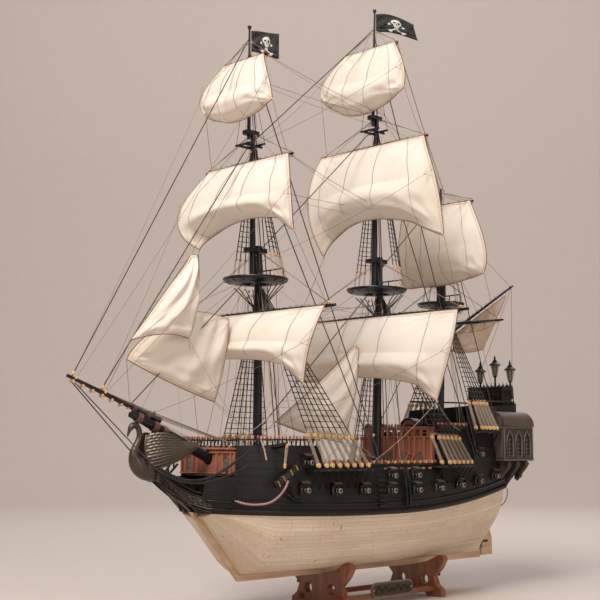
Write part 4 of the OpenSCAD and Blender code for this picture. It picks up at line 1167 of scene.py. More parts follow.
class Cloth:
    """A sheet on a bicubic net, with bolt-rope, hems and soft wrinkles."""

    def __init__(self, plan: SailPlan, seed: int, nu: int = 84, nv: int = 64) -> None:
        """Works out the sheet's points.

        Args:
            plan: the sail.
            seed: sets its wrinkles.
            nu: cells across.
            nv: cells down.
        """
        self.plan, self.nu, self.nv = plan, nu, nv
        self.random = random.Random(seed)
        self.folds = [(self.random.uniform(-1, 1), self.random.uniform(2, 9), self.random.uniform(1, 6),
                       self.random.uniform(0, 6.28)) for _ in range(9)]
        self.grid = [[self.at(i / nu, j / nv) for i in range(nu + 1)] for j in range(nv + 1)]

    @staticmethod
    def curve(p: list[Vector], t: float) -> Vector:
        """A cubic through its control points."""
        r = 1 - t
        return p[0] * r ** 3 + p[1] * (3 * t * r * r) + p[2] * (3 * t * t * r) + p[3] * t ** 3

    def bare(self, u: float, v: float) -> Vector:
        """A point of the plain patch, in metres."""
        rows = [self.curve([Vector(q) for q in row], u) for row in self.plan.net]
        return (self.curve(rows, v) + self.plan.origin) * MM

    def at(self, u: float, v: float) -> Vector:
        """A point of the wrinkled sheet, its foot rolled back under its belly."""
        t = unit((v - 0.58) / 0.42)
        share = unit(5 * min(u, 1 - u)) ** 2 * self.plan.roll
        push = self.ruffle(u, v) * self.inner(u, v) + (9 * math.sin(math.pi * t) - 12 * t ** 3) * share
        return self.bare(u, v) + self.plan.lift * (push * MM) + vec(0, 0, 6 * t ** 3 * share)

    @staticmethod
    def inner(u: float, v: float) -> float:
        """0 at the sheet's edge and 1 inside it."""
        return unit(12 * min(u, 1 - u, v, 1 - v))

    def ruffle(self, u: float, v: float) -> float:
        """Height of the wrinkles, in millimetres."""
        soft = sum(a * math.sin(k * u * 3.1 + m * v * 2.3 + p) for a, k, m, p in self.folds) * 0.55 * self.plan.slack
        corner = 0.0
        for cu, cv in ((0, 0), (1, 0), (0, 1), (1, 1)):
            du, dv = u - cu, v - cv
            far = math.hypot(du, dv)
            corner += math.sin(math.atan2(abs(dv), abs(du) + 1e-6) * 17) * max(0.0, 0.5 - far) * min(1.0, far * 6)
        roll = math.exp(-((v - 0.9) / 0.05) ** 2) - 0.6 * math.exp(-((v - 0.8) / 0.05) ** 2)
        return soft + corner * 2.1 + roll * 1.6

    def edge_distance(self, i: int, j: int) -> float:
        """Distance from a grid point to the sheet's nearest edge, in millimetres."""
        here = self.grid[j][i]
        sides = (self.grid[j][0], self.grid[j][self.nu], self.grid[0][i], self.grid[self.nv][i])
        return min((here - other).length for other in sides) / MM

    def shape(self) -> Shape:
        """The sheet as one open layer of faces, with UV in decimetres and the 'hem' value."""
        shape = Shape(self.plan.name)
        nu, nv = self.nu, self.nv
        flat = [p for row in self.grid for p in row]
        hem = [self.edge_distance(i, j) for j in range(nv + 1) for i in range(nu + 1)]
        shape.points = flat
        shape.values["hem"] = hem
        wide = max((row[-1] - row[0]).length for row in self.grid)
        tall = max((self.grid[-1][i] - self.grid[0][i]).length for i in (0, nu // 2, nu))
        for j in range(nv):
            for i in range(nu):
                a = j * (nu + 1) + i
                cells = ((i, j), (i + 1, j), (i + 1, j + 1), (i, j + 1))
                uvs = tuple((p / nu * wide * 10, -q / nv * tall * 10) for p, q in cells)
                shape.quad((a, a + 1, a + nu + 2, a + nu + 1), uvs)
        return shape

    def rim(self) -> list[Vector]:
        """The closed outline of the sheet."""
        g, nu, nv = self.grid, self.nu, self.nv
        top = [g[0][i] for i in range(0, nu, 3)]
        right = [g[j][nu] for j in range(0, nv, 3)]
        low = [g[nv][i] for i in range(nu, 0, -3)]
        left = [g[j][0] for j in range(nv, 0, -3)]
        return [*top, *right, *low, *left, g[0][0], g[0][min(3, nu)]]

    def flat_size(self) -> tuple[float, float, float]:
        """Cut width, cut height and area, in metres."""
        g = self.grid
        across = max(sum((b - a).length for a, b in zip(row, row[1:])) for row in g)
        down = max(sum((g[j + 1][i] - g[j][i]).length for j in range(self.nv)) for i in range(self.nu + 1))
        area = sum(((g[j][i + 1] - g[j][i]).cross(g[j + 1][i] - g[j][i])).length
                   for j in range(self.nv) for i in range(self.nu))
        return across, down, area


@dataclass
class SailLocker:
    """Every sail and flag."""

    look: Finishes
    clews: dict[str, object] = field(default_factory=dict)

    def plans(self) -> list[SailPlan]:
        """The sails' plans."""
        none = Vector((0, 0, 0))
        return [
            SailPlan("fore_course", FORE_COURSE_NET, FORE_YARD, AHEAD, roll=1.0),
            SailPlan("main_course", MAIN_COURSE_NET, MAIN_YARD, AHEAD, roll=1.0),
            SailPlan("fore_topsail", FORE_TOPSAIL_NET, FORE_TOPSAIL_YARD, AHEAD, roll=1.0),
            SailPlan("main_topsail", MAIN_TOPSAIL_NET, MAIN_TOPSAIL_YARD, AHEAD, roll=1.0),
            SailPlan("mizzen_topsail", MIZZEN_TOPSAIL_NET, MIZZEN_TOPSAIL_YARD, AHEAD, roll=0.8),
            SailPlan("fore_topgallant_sail", FORE_TOPGALLANT_NET, FORE_TOPGALLANT_YARD, AHEAD, roll=0.7),
            SailPlan("main_topgallant_sail", MAIN_TOPGALLANT_NET, MAIN_TOPGALLANT_YARD, AHEAD, roll=0.7),
            SailPlan("outer_jib", OUTER_JIB_NET, none, PORT, slack=2.6),
            SailPlan("fore_staysail", FORE_STAYSAIL_NET, none, PORT, slack=2.0),
            SailPlan("main_staysail", MAIN_STAYSAIL_NET, none, PORT),
            SailPlan("spanker", SPANKER_NET, none, PORT, old=True)]

    def build(self) -> None:
        for seed, plan in enumerate(self.plans()):
            self.sail(plan, seed)
        ports = ((FORE_FLAG_NET, Hull.mast(Hull.FORE, 645, 12.6), "fore_flag"),
                 (MAIN_FLAG_NET, Hull.mast(Hull.MAIN, 720, 12.6), "main_flag"))
        for net, at, name in ports:
            self.flag(SailPlan(name, net, at, Vector((0.5, 1, 0)), "hung"))

    def sail(self, plan: SailPlan, seed: int) -> None:
        """One sail with its bolt-rope."""
        cloth = Cloth(plan, seed)
        sheet = cloth.shape().build(180)
        Bench.modify(sheet, "SOLIDIFY", thickness=0.5 * MM, offset=0.0)
        settle(sheet, self.look.old_canvas if plan.old else self.look.canvas, "ship", (plan.name,))
        rope = Shape(f"{plan.name}_boltrope")
        rope.tube(cloth.rim(), 0.55 * MM, 6)
        extra = [rope.fit(self.look.umber_cord, "dark_rope")]
        wide, tall, area = cloth.flat_size()
        nu, nv = cloth.nu, cloth.nv
        for word, place in (("left", cloth.grid[nv][0]), ("right", cloth.grid[nv][nu]),
                            ("head_left", cloth.grid[0][0]), ("head_right", cloth.grid[0][nu]),
                            ("foot", cloth.grid[nv][nu // 2]), ("leech_left", cloth.grid[nv // 2][0]),
                            ("leech_right", cloth.grid[nv // 2][nu])):
            self.clews[f"{plan.name}.{word}"] = place
        for k in range(4):
            column = round((0.14 + 0.24 * k) * nu)
            self.clews[f"{plan.name}.bunt{k}"] = [cloth.grid[j][column] + plan.lift * (0.9 * MM)
                                                  for j in range(0, nv + 1, 4)]

    def flag(self, plan: SailPlan) -> None:
        """One flag with UV from 0 to 1."""
        cloth = Cloth(plan, 40, 40, 30)
        shape = cloth.shape()
        wide, tall, area = cloth.flat_size()
        cells = [(i, j) for j in range(cloth.nv) for i in range(cloth.nu)]
        shape.uvs = [tuple(((i + a) / cloth.nu, 1 - (j + b) / cloth.nv) for a, b in ((0, 0), (1, 0), (1, 1), (0, 1)))
                     for i, j in cells]
        flag = shape.build(180)
        Bench.modify(flag, "SOLIDIFY", thickness=0.4 * MM, offset=0.0)
        settle(flag, self.look.flag, "ship", ("flags",))


# ---------------------------------------------------------------- rigging


class Rope(Enum):
    """Sizes of rope, as radii in millimetres, with the sides of their tubes."""

    HEAVY = (0.55, 6)
    SHROUD = (0.6, 6)
    LANYARD = (0.3, 5)
    BRACE = (0.28, 5)
    THREAD = (0.2, 4)


@dataclass
class Rigging:
    """Standing and running rigging, with its blocks."""

    look: Finishes
    clews: dict[str, object]
    blocks: Shape = field(default_factory=lambda: Shape("rigging_blocks"))
    brown: Shape = field(default_factory=lambda: Shape("running_rigging_brown"))
    beige: Shape = field(default_factory=lambda: Shape("running_rigging_beige"))

    def build(self) -> None:
        """Makes every rope and block."""
        self.block = self.block_pattern()
        self.gangs()
        self.topmast_gangs()
        self.standing_stays()
        self.yards()
        self.braces()
        self.sheets()
        self.buntlines()
        self.bowlines()
        self.halyards()
        self.fore_and_aft()
        self.falls()
        self.blocks.fit(self.look.box, "boxwood", smooth=50)
        self.brown.fit(self.look.umber_cord, "dark_rope")
        self.beige.fit(self.look.hemp, "dark_rope")

    @staticmethod
    def block_pattern() -> bpy.types.Mesh:
        """A small oval pulley block with a score round it."""
        obj = Bench.box("block", (2.5, 1.7, 3.4), 0.55)
        Bench.edit(obj, lambda f: abs(f.normal.y) > 0.9)
        bpy.ops.mesh.inset(thickness=0.3 * MM, depth=-0.25 * MM)
        Bench.leave()
        return Bench.take(obj)

    def put(self, at: Vector, way: Vector, scale: float = 1.0) -> None:
        """Adds a block at a point in millimetres, its length along a direction."""
        self.blocks.add(self.block, aim(at * MM, way, (scale, scale, scale)))

    @staticmethod
    def rope(shape: Shape, a: Vector, b: Vector, kind: Rope, sag: float = 0.0) -> None:
        """Adds a rope between two points.

        Args:
            shape: the shape it joins.
            a: one end, in millimetres.
            b: the other end, in millimetres.
            kind: its size.
            sag: how far its middle hangs, in millimetres.
        """
        steps = 8 if sag else 1
        path = [(a.lerp(b, k / steps) - Vector((0, 0, 4 * sag * (k / steps) * (1 - k / steps)))) * MM
                for k in range(steps + 1)]
        radius, sides = kind.value
        shape.tube(path, radius * MM, sides)

    # -- standing

    @staticmethod
    def shroud_ends(gang: list, mast: tuple[float, float], top: float, i: int, side: int) -> tuple[Vector, ...]:
        """Lower deadeye, upper deadeye and head of one shroud, in millimetres."""
        x, z, upper = gang[i]
        low = Vector((x, side * (Hull.side_at(x, z) + 11.5), z + 6.5))
        head = Hull.mast(mast, top) + Vector((0, side * 5, -3 - 2.2 * i))
        return low, low + (head - low).normalized() * (upper - z), head

    def gangs(self) -> None:
        """Lower shrouds with ratlines, lanyards and deadeyes on both sides."""
        deadeye = self.deadeye_pattern(2.7, 3.0)
        for (gang, mast, top), name in zip(GANGS, ("fore", "main", "mizzen")):
            ropes, steps = Shape(f"{name}_shrouds"), Shape(f"{name}_ratlines")
            laces, eyes, straps = Shape(f"{name}_lanyards"), Shape(f"{name}_deadeyes"), Shape(f"{name}_chains")
            for side in (1, -1):
                ends = [self.shroud_ends(gang, mast, top, i, side) for i in range(len(gang))]
                for (low, high, head), (x, z, _) in zip(ends, gang):
                    way = (head - low).normalized()
                    self.rope(ropes, high + way * 3, head, Rope.SHROUD)
                    for dx in (-1.5, 0, 1.5):
                        for dy in (-0.9, 0.9):
                            off = Vector((dx, dy * side, 0))
                            self.rope(laces, low + off + way * 0.6, high + off * 0.9 - way * 0.6, Rope.LANYARD)
                    self.rope(laces, high + way * 3.2 + Vector((0, side, 0)), high + way * 8, Rope.LANYARD)
                    for at in (low, high):
                        eyes.add(deadeye, aim(at * MM, Vector((0, 1, 0.001 * side))))
                    foot = Vector((x, side * (Hull.side_at(x, z - 17) + 0.9), z - 17))
                    knee = Vector((x, side * (Hull.side_at(x, z) + 13.6), z + 1))
                    straps.tube([p * MM for p in (foot, knee, low + Vector((0, 0, -2.4)))], 0.5 * MM, 6)
                    straps.tube([(foot + Vector((0, 0, -1.4))) * MM, (foot + Vector((0, side * 0.4, 1.4))) * MM],
                                1.1 * MM, 8)
                self.ratlines(steps, ends)
                first, last = ends[0][1], ends[-1][1]
                stave = (ends[0][2] - ends[0][0]).normalized() * 4.2
                laces.tube([(first + stave) * MM, (last + stave) * MM], 0.7 * MM, 6)
            ropes.fit(self.look.tarred, "dark_rope", "shrouds")
            steps.fit(self.look.tarred, "dark_rope")
            laces.fit(self.look.hemp, "dark_rope", "shrouds")
            eyes.fit(self.look.box, "boxwood", "deadeyes", smooth=50)
            straps.fit(self.look.iron, "black_iron", smooth=50)

    def ratlines(self, shape: Shape, ends: list[tuple[Vector, ...]], pitch: float = 6.2) -> None:
        """Adds the steps of one gang of shrouds, each hitched round every shroud it passes."""
        start = max(high.z for _, high, _ in ends) + 9
        stop = min(head.z for _, _, head in ends) - 6
        for k in range(int((stop - start) / pitch) + 1):
            z = start + k * pitch
            row = [low.lerp(head, (z - low.z) / (head.z - low.z)) for low, _, head in ends]
            path = [row[0]]
            for a, b in zip(row, row[1:]):
                path += [a.lerp(b, 0.5) - Vector((0, 0, 0.5)), b]
            shape.tube([p * MM for p in path], 0.4 * MM, 4)
            for p, (low, _, head) in zip(row, ends):
                way = (head - low).normalized() * 0.55
                shape.tube([(p - way) * MM, (p + way) * MM], 0.85 * MM, 5)

    @staticmethod
    def deadeye_pattern(radius: float, depth: float) -> bpy.types.Mesh:
        """A round deadeye with a scored rim."""
        obj = Bench.drum("deadeye", radius, depth, 14, 0.5)
        Bench.edit(obj, lambda f: abs(f.normal.z) < 0.2)
        bpy.ops.mesh.inset(thickness=0.45 * MM, depth=-0.4 * MM)
        Bench.leave()
        return Bench.take(obj)

    def topmast_gangs(self) -> None:
        """Topmast shrouds from each top, the futtocks under it and the topgallant shrouds above."""
        shape, laces = Shape("upper_shrouds"), Shape("upper_lanyards")
        eyes, steps = Shape("upper_deadeyes"), Shape("upper_ratlines")
        pattern = self.deadeye_pattern(1.7, 2.0)
        plan = ((Hull.FORE, 357, 33, 4, 512, (600, 15.5)), (Hull.MAIN, 364, 33.5, 4, 567, (662, 15.5)),
                (Hull.MIZZEN, 357, 27, 3, 486, None))
        for mast, top, reach, count, head_z, upper in plan:
            centre = Hull.mast(mast, top + 7, 4)
            for side in (1, -1):
                ends = []
                for i in range(count):
                    dx = lerp(-19, 4, i / (count - 1))
                    low = centre + Vector((dx, side * math.sqrt(reach ** 2 - dx ** 2), 0))
                    head = Hull.mast(mast, head_z - 1.5 * i, 9) + Vector((0, side * 3, 0))
                    way = (head - low).normalized()
                    high = low + way * 24
                    ends.append((low, high, head))
                    self.rope(shape, high, head, Rope.SHROUD)
                    for dx2 in (-0.8, 0.8):
                        off = Vector((dx2, side * 0.5, 0))
                        self.rope(laces, low + off, high + off, Rope.LANYARD)
                    for at in (low, high):
                        eyes.add(pattern, aim(at * MM, Vector((0, 1, 0.001))))
                    hoop = Hull.mast(mast, top - 27) + Vector((0, side * 5, 0))
                    rim = low + Vector((0, -side * 2, -9))
                    self.rope(shape, rim, hoop, Rope.SHROUD)
                self.ratlines(steps, ends, 5.6)
                if upper:
                    z, ahead = upper
                    for dx in (-4, 12):
                        foot = Hull.mast(mast, head_z + 2, 9) + Vector((dx, side * 14.5, 0))
                        self.rope(shape, foot, Hull.mast(mast, z, ahead) + Vector((0, side * 1.8, 0)), Rope.BRACE)
            ring = [Hull.mast(mast, top - 27) + Vector((6 * math.cos(a), 6 * math.sin(a), 0))
                    for a in (k * math.tau / 16 for k in range(17))]
            shape.tube([p * MM for p in ring], 0.8 * MM, 6)
        shape.fit(self.look.tarred, "dark_rope")
        steps.fit(self.look.tarred, "dark_rope")
        laces.fit(self.look.hemp, "dark_rope")
        eyes.fit(self.look.box, "boxwood", smooth=50)

    def standing_stays(self) -> None:
        """Stays, backstays and bobstays, as the CAD leads them."""
        fore, main, mizzen = Hull.FORE, Hull.MAIN, Hull.MIZZEN
        at = Hull.mast
        pairs = [(at(fore, 636, 15.5), (343, 0, 246)), (at(fore, 516, 13), (309, 0, 234)),
                 (at(fore, 372, 5), (278, 0, 216)), (at(main, 700, 15.5), at(fore, 518, 8)),
                 (at(main, 572, 13), at(fore, 388, 6)), (at(main, 376, 5), (116, 0, 182)),
                 (at(mizzen, 506, 10), at(main, 398, -5)), (at(mizzen, 370, 4), at(main, 190, 8))]
        shape = Shape("stays_and_backstays")
        for a, b in pairs:
            b = Vector(b)
            self.rope(shape, a, b, Rope.HEAVY)
            self.put(b + (a - b).normalized() * 3, a - b, 1.2)
        sides = [(at(fore, 514, 9), (-6, 80, 160)), (at(fore, 620, 15.5), (-12, 80, 160)),
                 (at(main, 570, 9), (-194, 74, 162)), (at(main, 690, 15.5), (-200, 73, 162)),
                 (at(mizzen, 500, 9), (-268, 52, 203)), (Vector((342, 2, 240)), (197, 12, 113))]
        for a, (x, y, z) in sides:
            for side in (1, -1):
                head, foot = Vector((a.x, a.y * side, a.z)), Vector((x, y * side, z))
                self.rope(shape, head, foot, Rope.SHROUD)
        for i in range(6):
            x = 343 - i * 11.5
            for side in (1, -1):
                self.put(Vector((x, side * 2.4, 240.5 - i * 4.2)), Vector((0.3, 0, 1)))
        shape.fit(self.look.tarred, "dark_rope", "stays")

    # -- yards

    YARDS = (("fore_course", FORE_YARD, 128, 3.0, Hull.FORE, 392, 0), ("main_course", MAIN_YARD, 145, 3.2,
             Hull.MAIN, 402, 0), ("", CROSSJACK, 103, 2.3, Hull.MIZZEN, 391, 0),
             ("fore_topsail", FORE_TOPSAIL_YARD, 71, 2.3, Hull.FORE, 524, 9),
             ("main_topsail", MAIN_TOPSAIL_YARD, 88, 2.5, Hull.MAIN, 582, 9),
             ("mizzen_topsail", MIZZEN_TOPSAIL_YARD, 58, 1.9, Hull.MIZZEN, 508, 9),
             ("fore_topgallant_sail", FORE_TOPGALLANT_YARD, 37, 1.6, Hull.FORE, 630, 15),
             ("main_topgallant_sail", MAIN_TOPGALLANT_YARD, 44, 1.7, Hull.MAIN, 695, 15))

    def yards(self) -> None:
        """Lifts, footropes, robands, hoops and slings on every yard."""
        foot, bands = Shape("footropes"), Shape("robands")
        hoops = Shape("yard_hoops")
        for sail, at, half, thick, mast, lift_z, ahead in self.YARDS:
            head = Hull.mast(mast, lift_z, ahead)
            for side in (1, -1):
                arm = at + Vector((0, side * half * Hull.ARM, 0))
                cap = head + Vector((0, side * 4, 0))
                for dz in (0, 1.6):
                    self.rope(self.brown, arm + Vector((0, -side * dz, 3)), cap + Vector((dz, 0, dz)), Rope.BRACE)
                self.put(arm + Vector((0, 0, 3.6)), cap - arm)
                self.put(cap, cap - arm, 0.9)
                self.put(arm + Vector((-3, 0, -0.5)), Vector((-1, 0, -0.2)))
                near = at + Vector((-3, side * 7, -4))
                self.rope(foot, near, arm + Vector((-1.5, 0, -2)), Rope.THREAD, 9)
                for t in (0.25, 0.5, 0.75):
                    y = lerp(7, half * Hull.ARM, t)
                    drop = 36 * t * (1 - t) + 3
                    self.rope(foot, at + Vector((-2, side * y, 0)), at + Vector((-2.5, side * y, -drop)), Rope.THREAD)
                for y in (0.3 * half, 0.62 * half, half * 0.9):
                    r = lerp(thick, thick * 0.5, unit((y / half - 0.3) / 0.7)) + 0.25
                    self.hoop(hoops, at + Vector((0, side * y, 0)), r, PORT, 0.45)
            if sail:
                self.robands(bands, sail, at, thick)
            for dy in (-3, 3):
                self.hoop(hoops, at + Vector((-at_ahead(at, mast) / 2, dy, 0)), 5.5, Vector((0.5, 0, 1)), 0.5)
        foot.fit(self.look.tarred, "dark_rope")
        bands.fit(self.look.umber_cord, "dark_rope")
        hoops.fit(self.look.iron, "black_iron")

    @staticmethod
    def hoop(shape: Shape, at: Vector, radius: float, way: Vector, thick: float) -> None:
        """Adds a ring about a point in millimetres."""
        turn = way.to_track_quat("Z", "Y")
        ring = [at + turn @ Vector((radius * math.cos(k * math.tau / 12), radius * math.sin(k * math.tau / 12), 0))
                for k in range(13)]
        shape.tube([p * MM for p in ring], thick * MM, 5)

    def robands(self, shape: Shape, sail: str, at: Vector, thick: float) -> None:
        """Adds the short ties between a sail's head and its yard."""
        left, right = self.clews[f"{sail}.head_left"] / MM, self.clews[f"{sail}.head_right"] / MM
        count = max(6, round((right - left).length / 9))
        for i in range(count + 1):
            y = lerp(left.y, right.y, i / count)
            self.hoop(shape, Vector((at.x + 1.4, y, at.z - 0.6)), thick + 1.2, PORT, 0.28)

    def points(self) -> dict[str, Vector]:
        """The sails' corners and leeches, in millimetres."""
        return {key: at / MM for key, at in self.clews.items() if ".bunt" not in key}

    # -- running

    def lead(self, a: Vector, b: Vector, kind: Rope = Rope.BRACE, sag: float = 0.0, ends: str = "ab",
             beige: bool = False) -> None:
        """A running rope with blocks at the ends named in ends."""
        self.rope(self.beige if beige else self.brown, a, b, kind, sag)
        if "a" in ends:
            self.put(a, b - a, 0.85)
        if "b" in ends:
            self.put(b, a - b, 0.85)

    def braces(self) -> None:
        """From each yard arm aft to the next mast."""
        main, mizzen = Hull.MAIN, Hull.MIZZEN
        plan = ((FORE_YARD, 128, Hull.mast(main, 352)), (MAIN_YARD, 145, Hull.mast(mizzen, 350)),
                (CROSSJACK, 103, Hull.mast(main, 340)), (FORE_TOPSAIL_YARD, 71, Hull.mast(main, 470)),
                (MAIN_TOPSAIL_YARD, 88, Hull.mast(mizzen, 500, 9)), (MIZZEN_TOPSAIL_YARD, 58, Hull.mast(main, 520)),
                (FORE_TOPGALLANT_YARD, 37, Hull.mast(main, 590)), (MAIN_TOPGALLANT_YARD, 44, Hull.mast(mizzen, 512, 9)))
        for at, half, to in plan:
            for side in (1, -1):
                arm = at + Vector((-3, side * half * Hull.ARM, -1))
                end = to + Vector((0, side * 5, 0))
                self.lead(arm, end, Rope.BRACE, 3)
                self.rope(self.brown, arm + Vector((0, 0, -1)), end + Vector((2, side * 4, -10)), Rope.THREAD, 4)

    def sheets(self) -> None:
        """Sheets, tacks and clewlines of the square sails."""
        c = self.points()
        plan = (("fore_course", (-20, 74, 160), (176, 34, 176)), ("main_course", (-176, 64, 198), (2, 76, 160)))
        for sail, after, ahead in plan:
            for word, side in CLEWS:
                clew = c[f"{sail}.{word}"]
                self.lead(clew, Vector((after[0], side * after[1], after[2])), Rope.BRACE, 5, "a", True)
                self.lead(clew, Vector((ahead[0], side * ahead[1], ahead[2])), Rope.BRACE, 4, "a", True)
        upper = (("fore_topsail", FORE_YARD, 116), ("main_topsail", MAIN_YARD, 132), ("mizzen_topsail", CROSSJACK, 92),
                 ("fore_topgallant_sail", FORE_TOPSAIL_YARD, 62), ("main_topgallant_sail", MAIN_TOPSAIL_YARD, 78))
        for sail, yard, reach in upper:
            for word, side in CLEWS:
                self.lead(c[f"{sail}.{word}"], yard + Vector((0, side * reach, 3)), Rope.BRACE, 2, "ab")
        clew_up = (("fore_course", FORE_YARD), ("main_course", MAIN_YARD), ("fore_topsail", FORE_TOPSAIL_YARD),
                   ("main_topsail", MAIN_TOPSAIL_YARD), ("mizzen_topsail", MIZZEN_TOPSAIL_YARD))
        for sail, yard in clew_up:
            for word, side in CLEWS:
                self.lead(c[f"{sail}.{word}"], yard + Vector((-3, side * 16, -2)), Rope.THREAD, 0, "b")

    def buntlines(self) -> None:
        """Lines down the fore side of each square sail, led up to the mast above it."""
        for sail, at, _, _, mast, lift_z, ahead in self.YARDS:
            if not sail:
                continue
            for key in (f"{sail}.bunt{k}" for k in range(4)):
                path = [p / MM for p in self.clews[key]]
                self.brown.tube([p * MM for p in path], Rope.THREAD.value[0] * MM, 4)
                top = Hull.mast(mast, min(lift_z, at.z + 46), ahead) + Vector((4, math.copysign(4, path[0].y), 0))
                self.rope(self.brown, path[0], top, Rope.THREAD)

    def bowlines(self) -> None:
        """From the sails' leeches forward."""
        c = self.points()
        fore = Hull.FORE
        plan = (("fore_course", (262, 208)), ("fore_topsail", (306, 231)), ("fore_topgallant_sail", (341, 244)),
                ("main_course", (fore[0] - 3, 196)), ("main_topsail", (fore[0] - 5, 384)),
                ("main_topgallant_sail", (fore[0] + 4, 516)))
        for sail, (x, z) in plan:
            for word, side in (("leech_left", -1), ("leech_right", 1)):
                at = c[f"{sail}.{word}"]
                end = Vector((x, side * 4, z))
                self.lead(at, end, Rope.THREAD, 5, "b")
                for dz in (-9, 9):
                    self.rope(self.brown, at + (end - at).normalized() * 14, at + Vector((0.4, 0, dz)), Rope.THREAD)

    def halyards(self) -> None:
        """Falls that run down beside each mast to the deck, and the flag halyards."""
        rng = random.Random(3)
        plan = ((Hull.FORE, 352, (101, 44, 178), 14), (Hull.MAIN, 359, (-95, 52, 158), 14),
                (Hull.MIZZEN, 352, (-217, 36, 203), 10))
        for mast, top, (x, spread, deck), count in plan:
            for i in range(count):
                side = 1 if i % 2 else -1
                high = Hull.mast(mast, top - rng.uniform(0, 8))
                high += Vector((rng.uniform(-9, 12), side * rng.uniform(7, 22), 0))
                low = Vector((x + rng.uniform(-26, 26), side * rng.uniform(0.35, 1.0) * spread, deck + 4))
                self.lead(high, low, Rope.BRACE if i % 3 else Rope.THREAD, 0, "a" if i % 4 == 0 else "", i % 5 == 0)
        aloft = ((Hull.FORE, 372, 508, 12), (Hull.MAIN, 380, 562, 12), (Hull.FORE, 530, 606, 18),
                 (Hull.MAIN, 590, 668, 18), (Hull.MIZZEN, 370, 488, 12))
        for mast, low, high, ahead in aloft:
            for dy in (-6, -2.5, 2.5, 6):
                self.rope(self.brown, Hull.mast(mast, low, ahead - 6) + Vector((0, dy * 1.6, 0)),
                          Hull.mast(mast, high, ahead) + Vector((0, dy * 0.5, 0)), Rope.THREAD)
        for mast, high in ((Hull.FORE, 645), (Hull.MAIN, 720)):
            self.rope(self.brown, Hull.mast(mast, high, 12.8), Hull.mast(mast, high - 110, 10), Rope.THREAD)

    def fore_and_aft(self) -> None:
        """Halyards, sheets, downhauls and hanks of the staysails, jib and spanker, and the head's ropes."""
        c = self.points()
        fore, main, mizzen = Hull.FORE, Hull.MAIN, Hull.MIZZEN
        up = (("outer_jib.head_left", Hull.mast(fore, 505, 12)), ("fore_staysail.head_left", Hull.mast(fore, 366, 5)),
              ("main_staysail.head_left", Hull.mast(main, 360, 5)))
        for key, top in up:
            self.lead(c[key], top)
        for sail, low, sheet in (("outer_jib", (306, 3, 232), (150, 40, 182)), ("fore_staysail", (276, 3, 214),
                                 (140, 44, 182)), ("main_staysail", (112, 3, 182), (-60, 60, 160))):
            self.lead(c[f"{sail}.left"], Vector(low), Rope.BRACE, 0, "b")
            for side in (1, -1):
                self.lead(c[f"{sail}.right"], Vector((sheet[0], side * sheet[1], sheet[2])), Rope.BRACE, 3, "", True)
        stays = (("outer_jib", Hull.mast(fore, 516, 13), Vector((309, 0, 234))),
                 ("fore_staysail", Hull.mast(fore, 372, 5), Vector((278, 0, 216))),
                 ("main_staysail", Hull.mast(main, 376, 5), Vector((116, 0, 182))))
        for sail, a, b in stays:
            head, tack = c[f"{sail}.head_left"], c[f"{sail}.left"]
            for i in range(12):
                p = head.lerp(tack, i / 11)
                q = a.lerp(b, unit((a.z - p.z) / (a.z - b.z)))
                if (q - p).length < 26:
                    self.rope(self.beige, p, q, Rope.THREAD)
                    self.hoop(self.beige, q, 1.1, b - a, 0.26)
        gaff, throat = Vector((-346, 23.6, 395)), Vector((-232, 2, 322))
        for t in (0.45, 0.98):
            self.lead(throat.lerp(gaff, t) + Vector((0, 0, 2)), Hull.mast(mizzen, 480 - 60 * (1 - t), 4), Rope.BRACE)
        for side in (1, -1):
            self.lead(gaff, Vector((-325, side * 36, 240)), Rope.BRACE, 4)
        self.lead(c["spanker.right"], Vector((-330, 8, 232)), Rope.BRACE, 2, "a", True)
        for i in range(13):
            p = throat.lerp(gaff, 0.05 + 0.07 * i)
            self.hoop(self.brown, p, 2.5, gaff - throat, 0.26)
        for i in range(7):
            for side in (1, -1):
                self.rope(self.brown, Vector((322 - 11 * i, 0, 238 - 4.3 * i)),
                          Vector((150 + 3.2 * i, side * (26 + 3.5 * i), 180)), Rope.THREAD, 2)

    def falls(self) -> None:
        """Coils hung on the rails."""
        pattern = self.coil_pattern()
        coils = Shape("rope_coils")
        rows = [(x, 178.5) for x in range(78, 166, 9)] + [(x, 156) for x in range(-120, 66, 13)]
        rows += [(x, 196) for x in range(-206, -144, 8)]
        for k, (x, z) in enumerate(rows):
            for side in (1, -1):
                at = vec(x, side * (Hull.rail_half(x) - 3.2), z - 1.6)
                coils.add(pattern, aim(at, Vector((0.15 * (k % 3 - 1), side, 0.2))))
        coils.fit(self.look.hemp, "dark_rope")

    @staticmethod
    def coil_pattern() -> bpy.types.Mesh:
        """A hung coil of line, longer than it is wide."""
        Bench.only(None)
        bpy.ops.mesh.primitive_torus_add(major_radius=2.1 * MM, minor_radius=0.62 * MM, major_segments=12,
                                         minor_segments=5)
        obj = bpy.context.object
        obj.data.transform(Matrix.Diagonal((0.75, 1.5, 1.0, 1.0)))
        return Bench.take(obj)


def at_ahead(at: Vector, mast: tuple[float, float]) -> float:
    """How far a yard's middle lies ahead of its mast's line, in millimetres."""
    return at.x - Hull.mast(mast, at.z).x


# ---------------------------------------------------------------- fittings


def spiral(centre: Vector, right: Vector, up: Vector, big: float, small: float, turns: float,
           start: float = 0.0) -> list[Vector]:
    """A flat scroll, in metres, from the outside in.

    Args:
        centre: its middle, in millimetres.
        right: the first direction of its plane.
        up: the second direction of its plane.
        big: its outer radius in millimetres.
        small: its inner radius in millimetres.
        turns: how far it winds.
        start: the angle where it starts, in turns.
    Returns:
        Its points.
    """
    steps = max(8, int(14 * abs(turns)))
    path = []
    for k in range(steps + 1):
        t = k / steps
        a = math.tau * (start + turns * t)
        path.append((centre + (right * math.cos(a) + up * math.sin(a)) * lerp(big, small, t)) * MM)
    return path


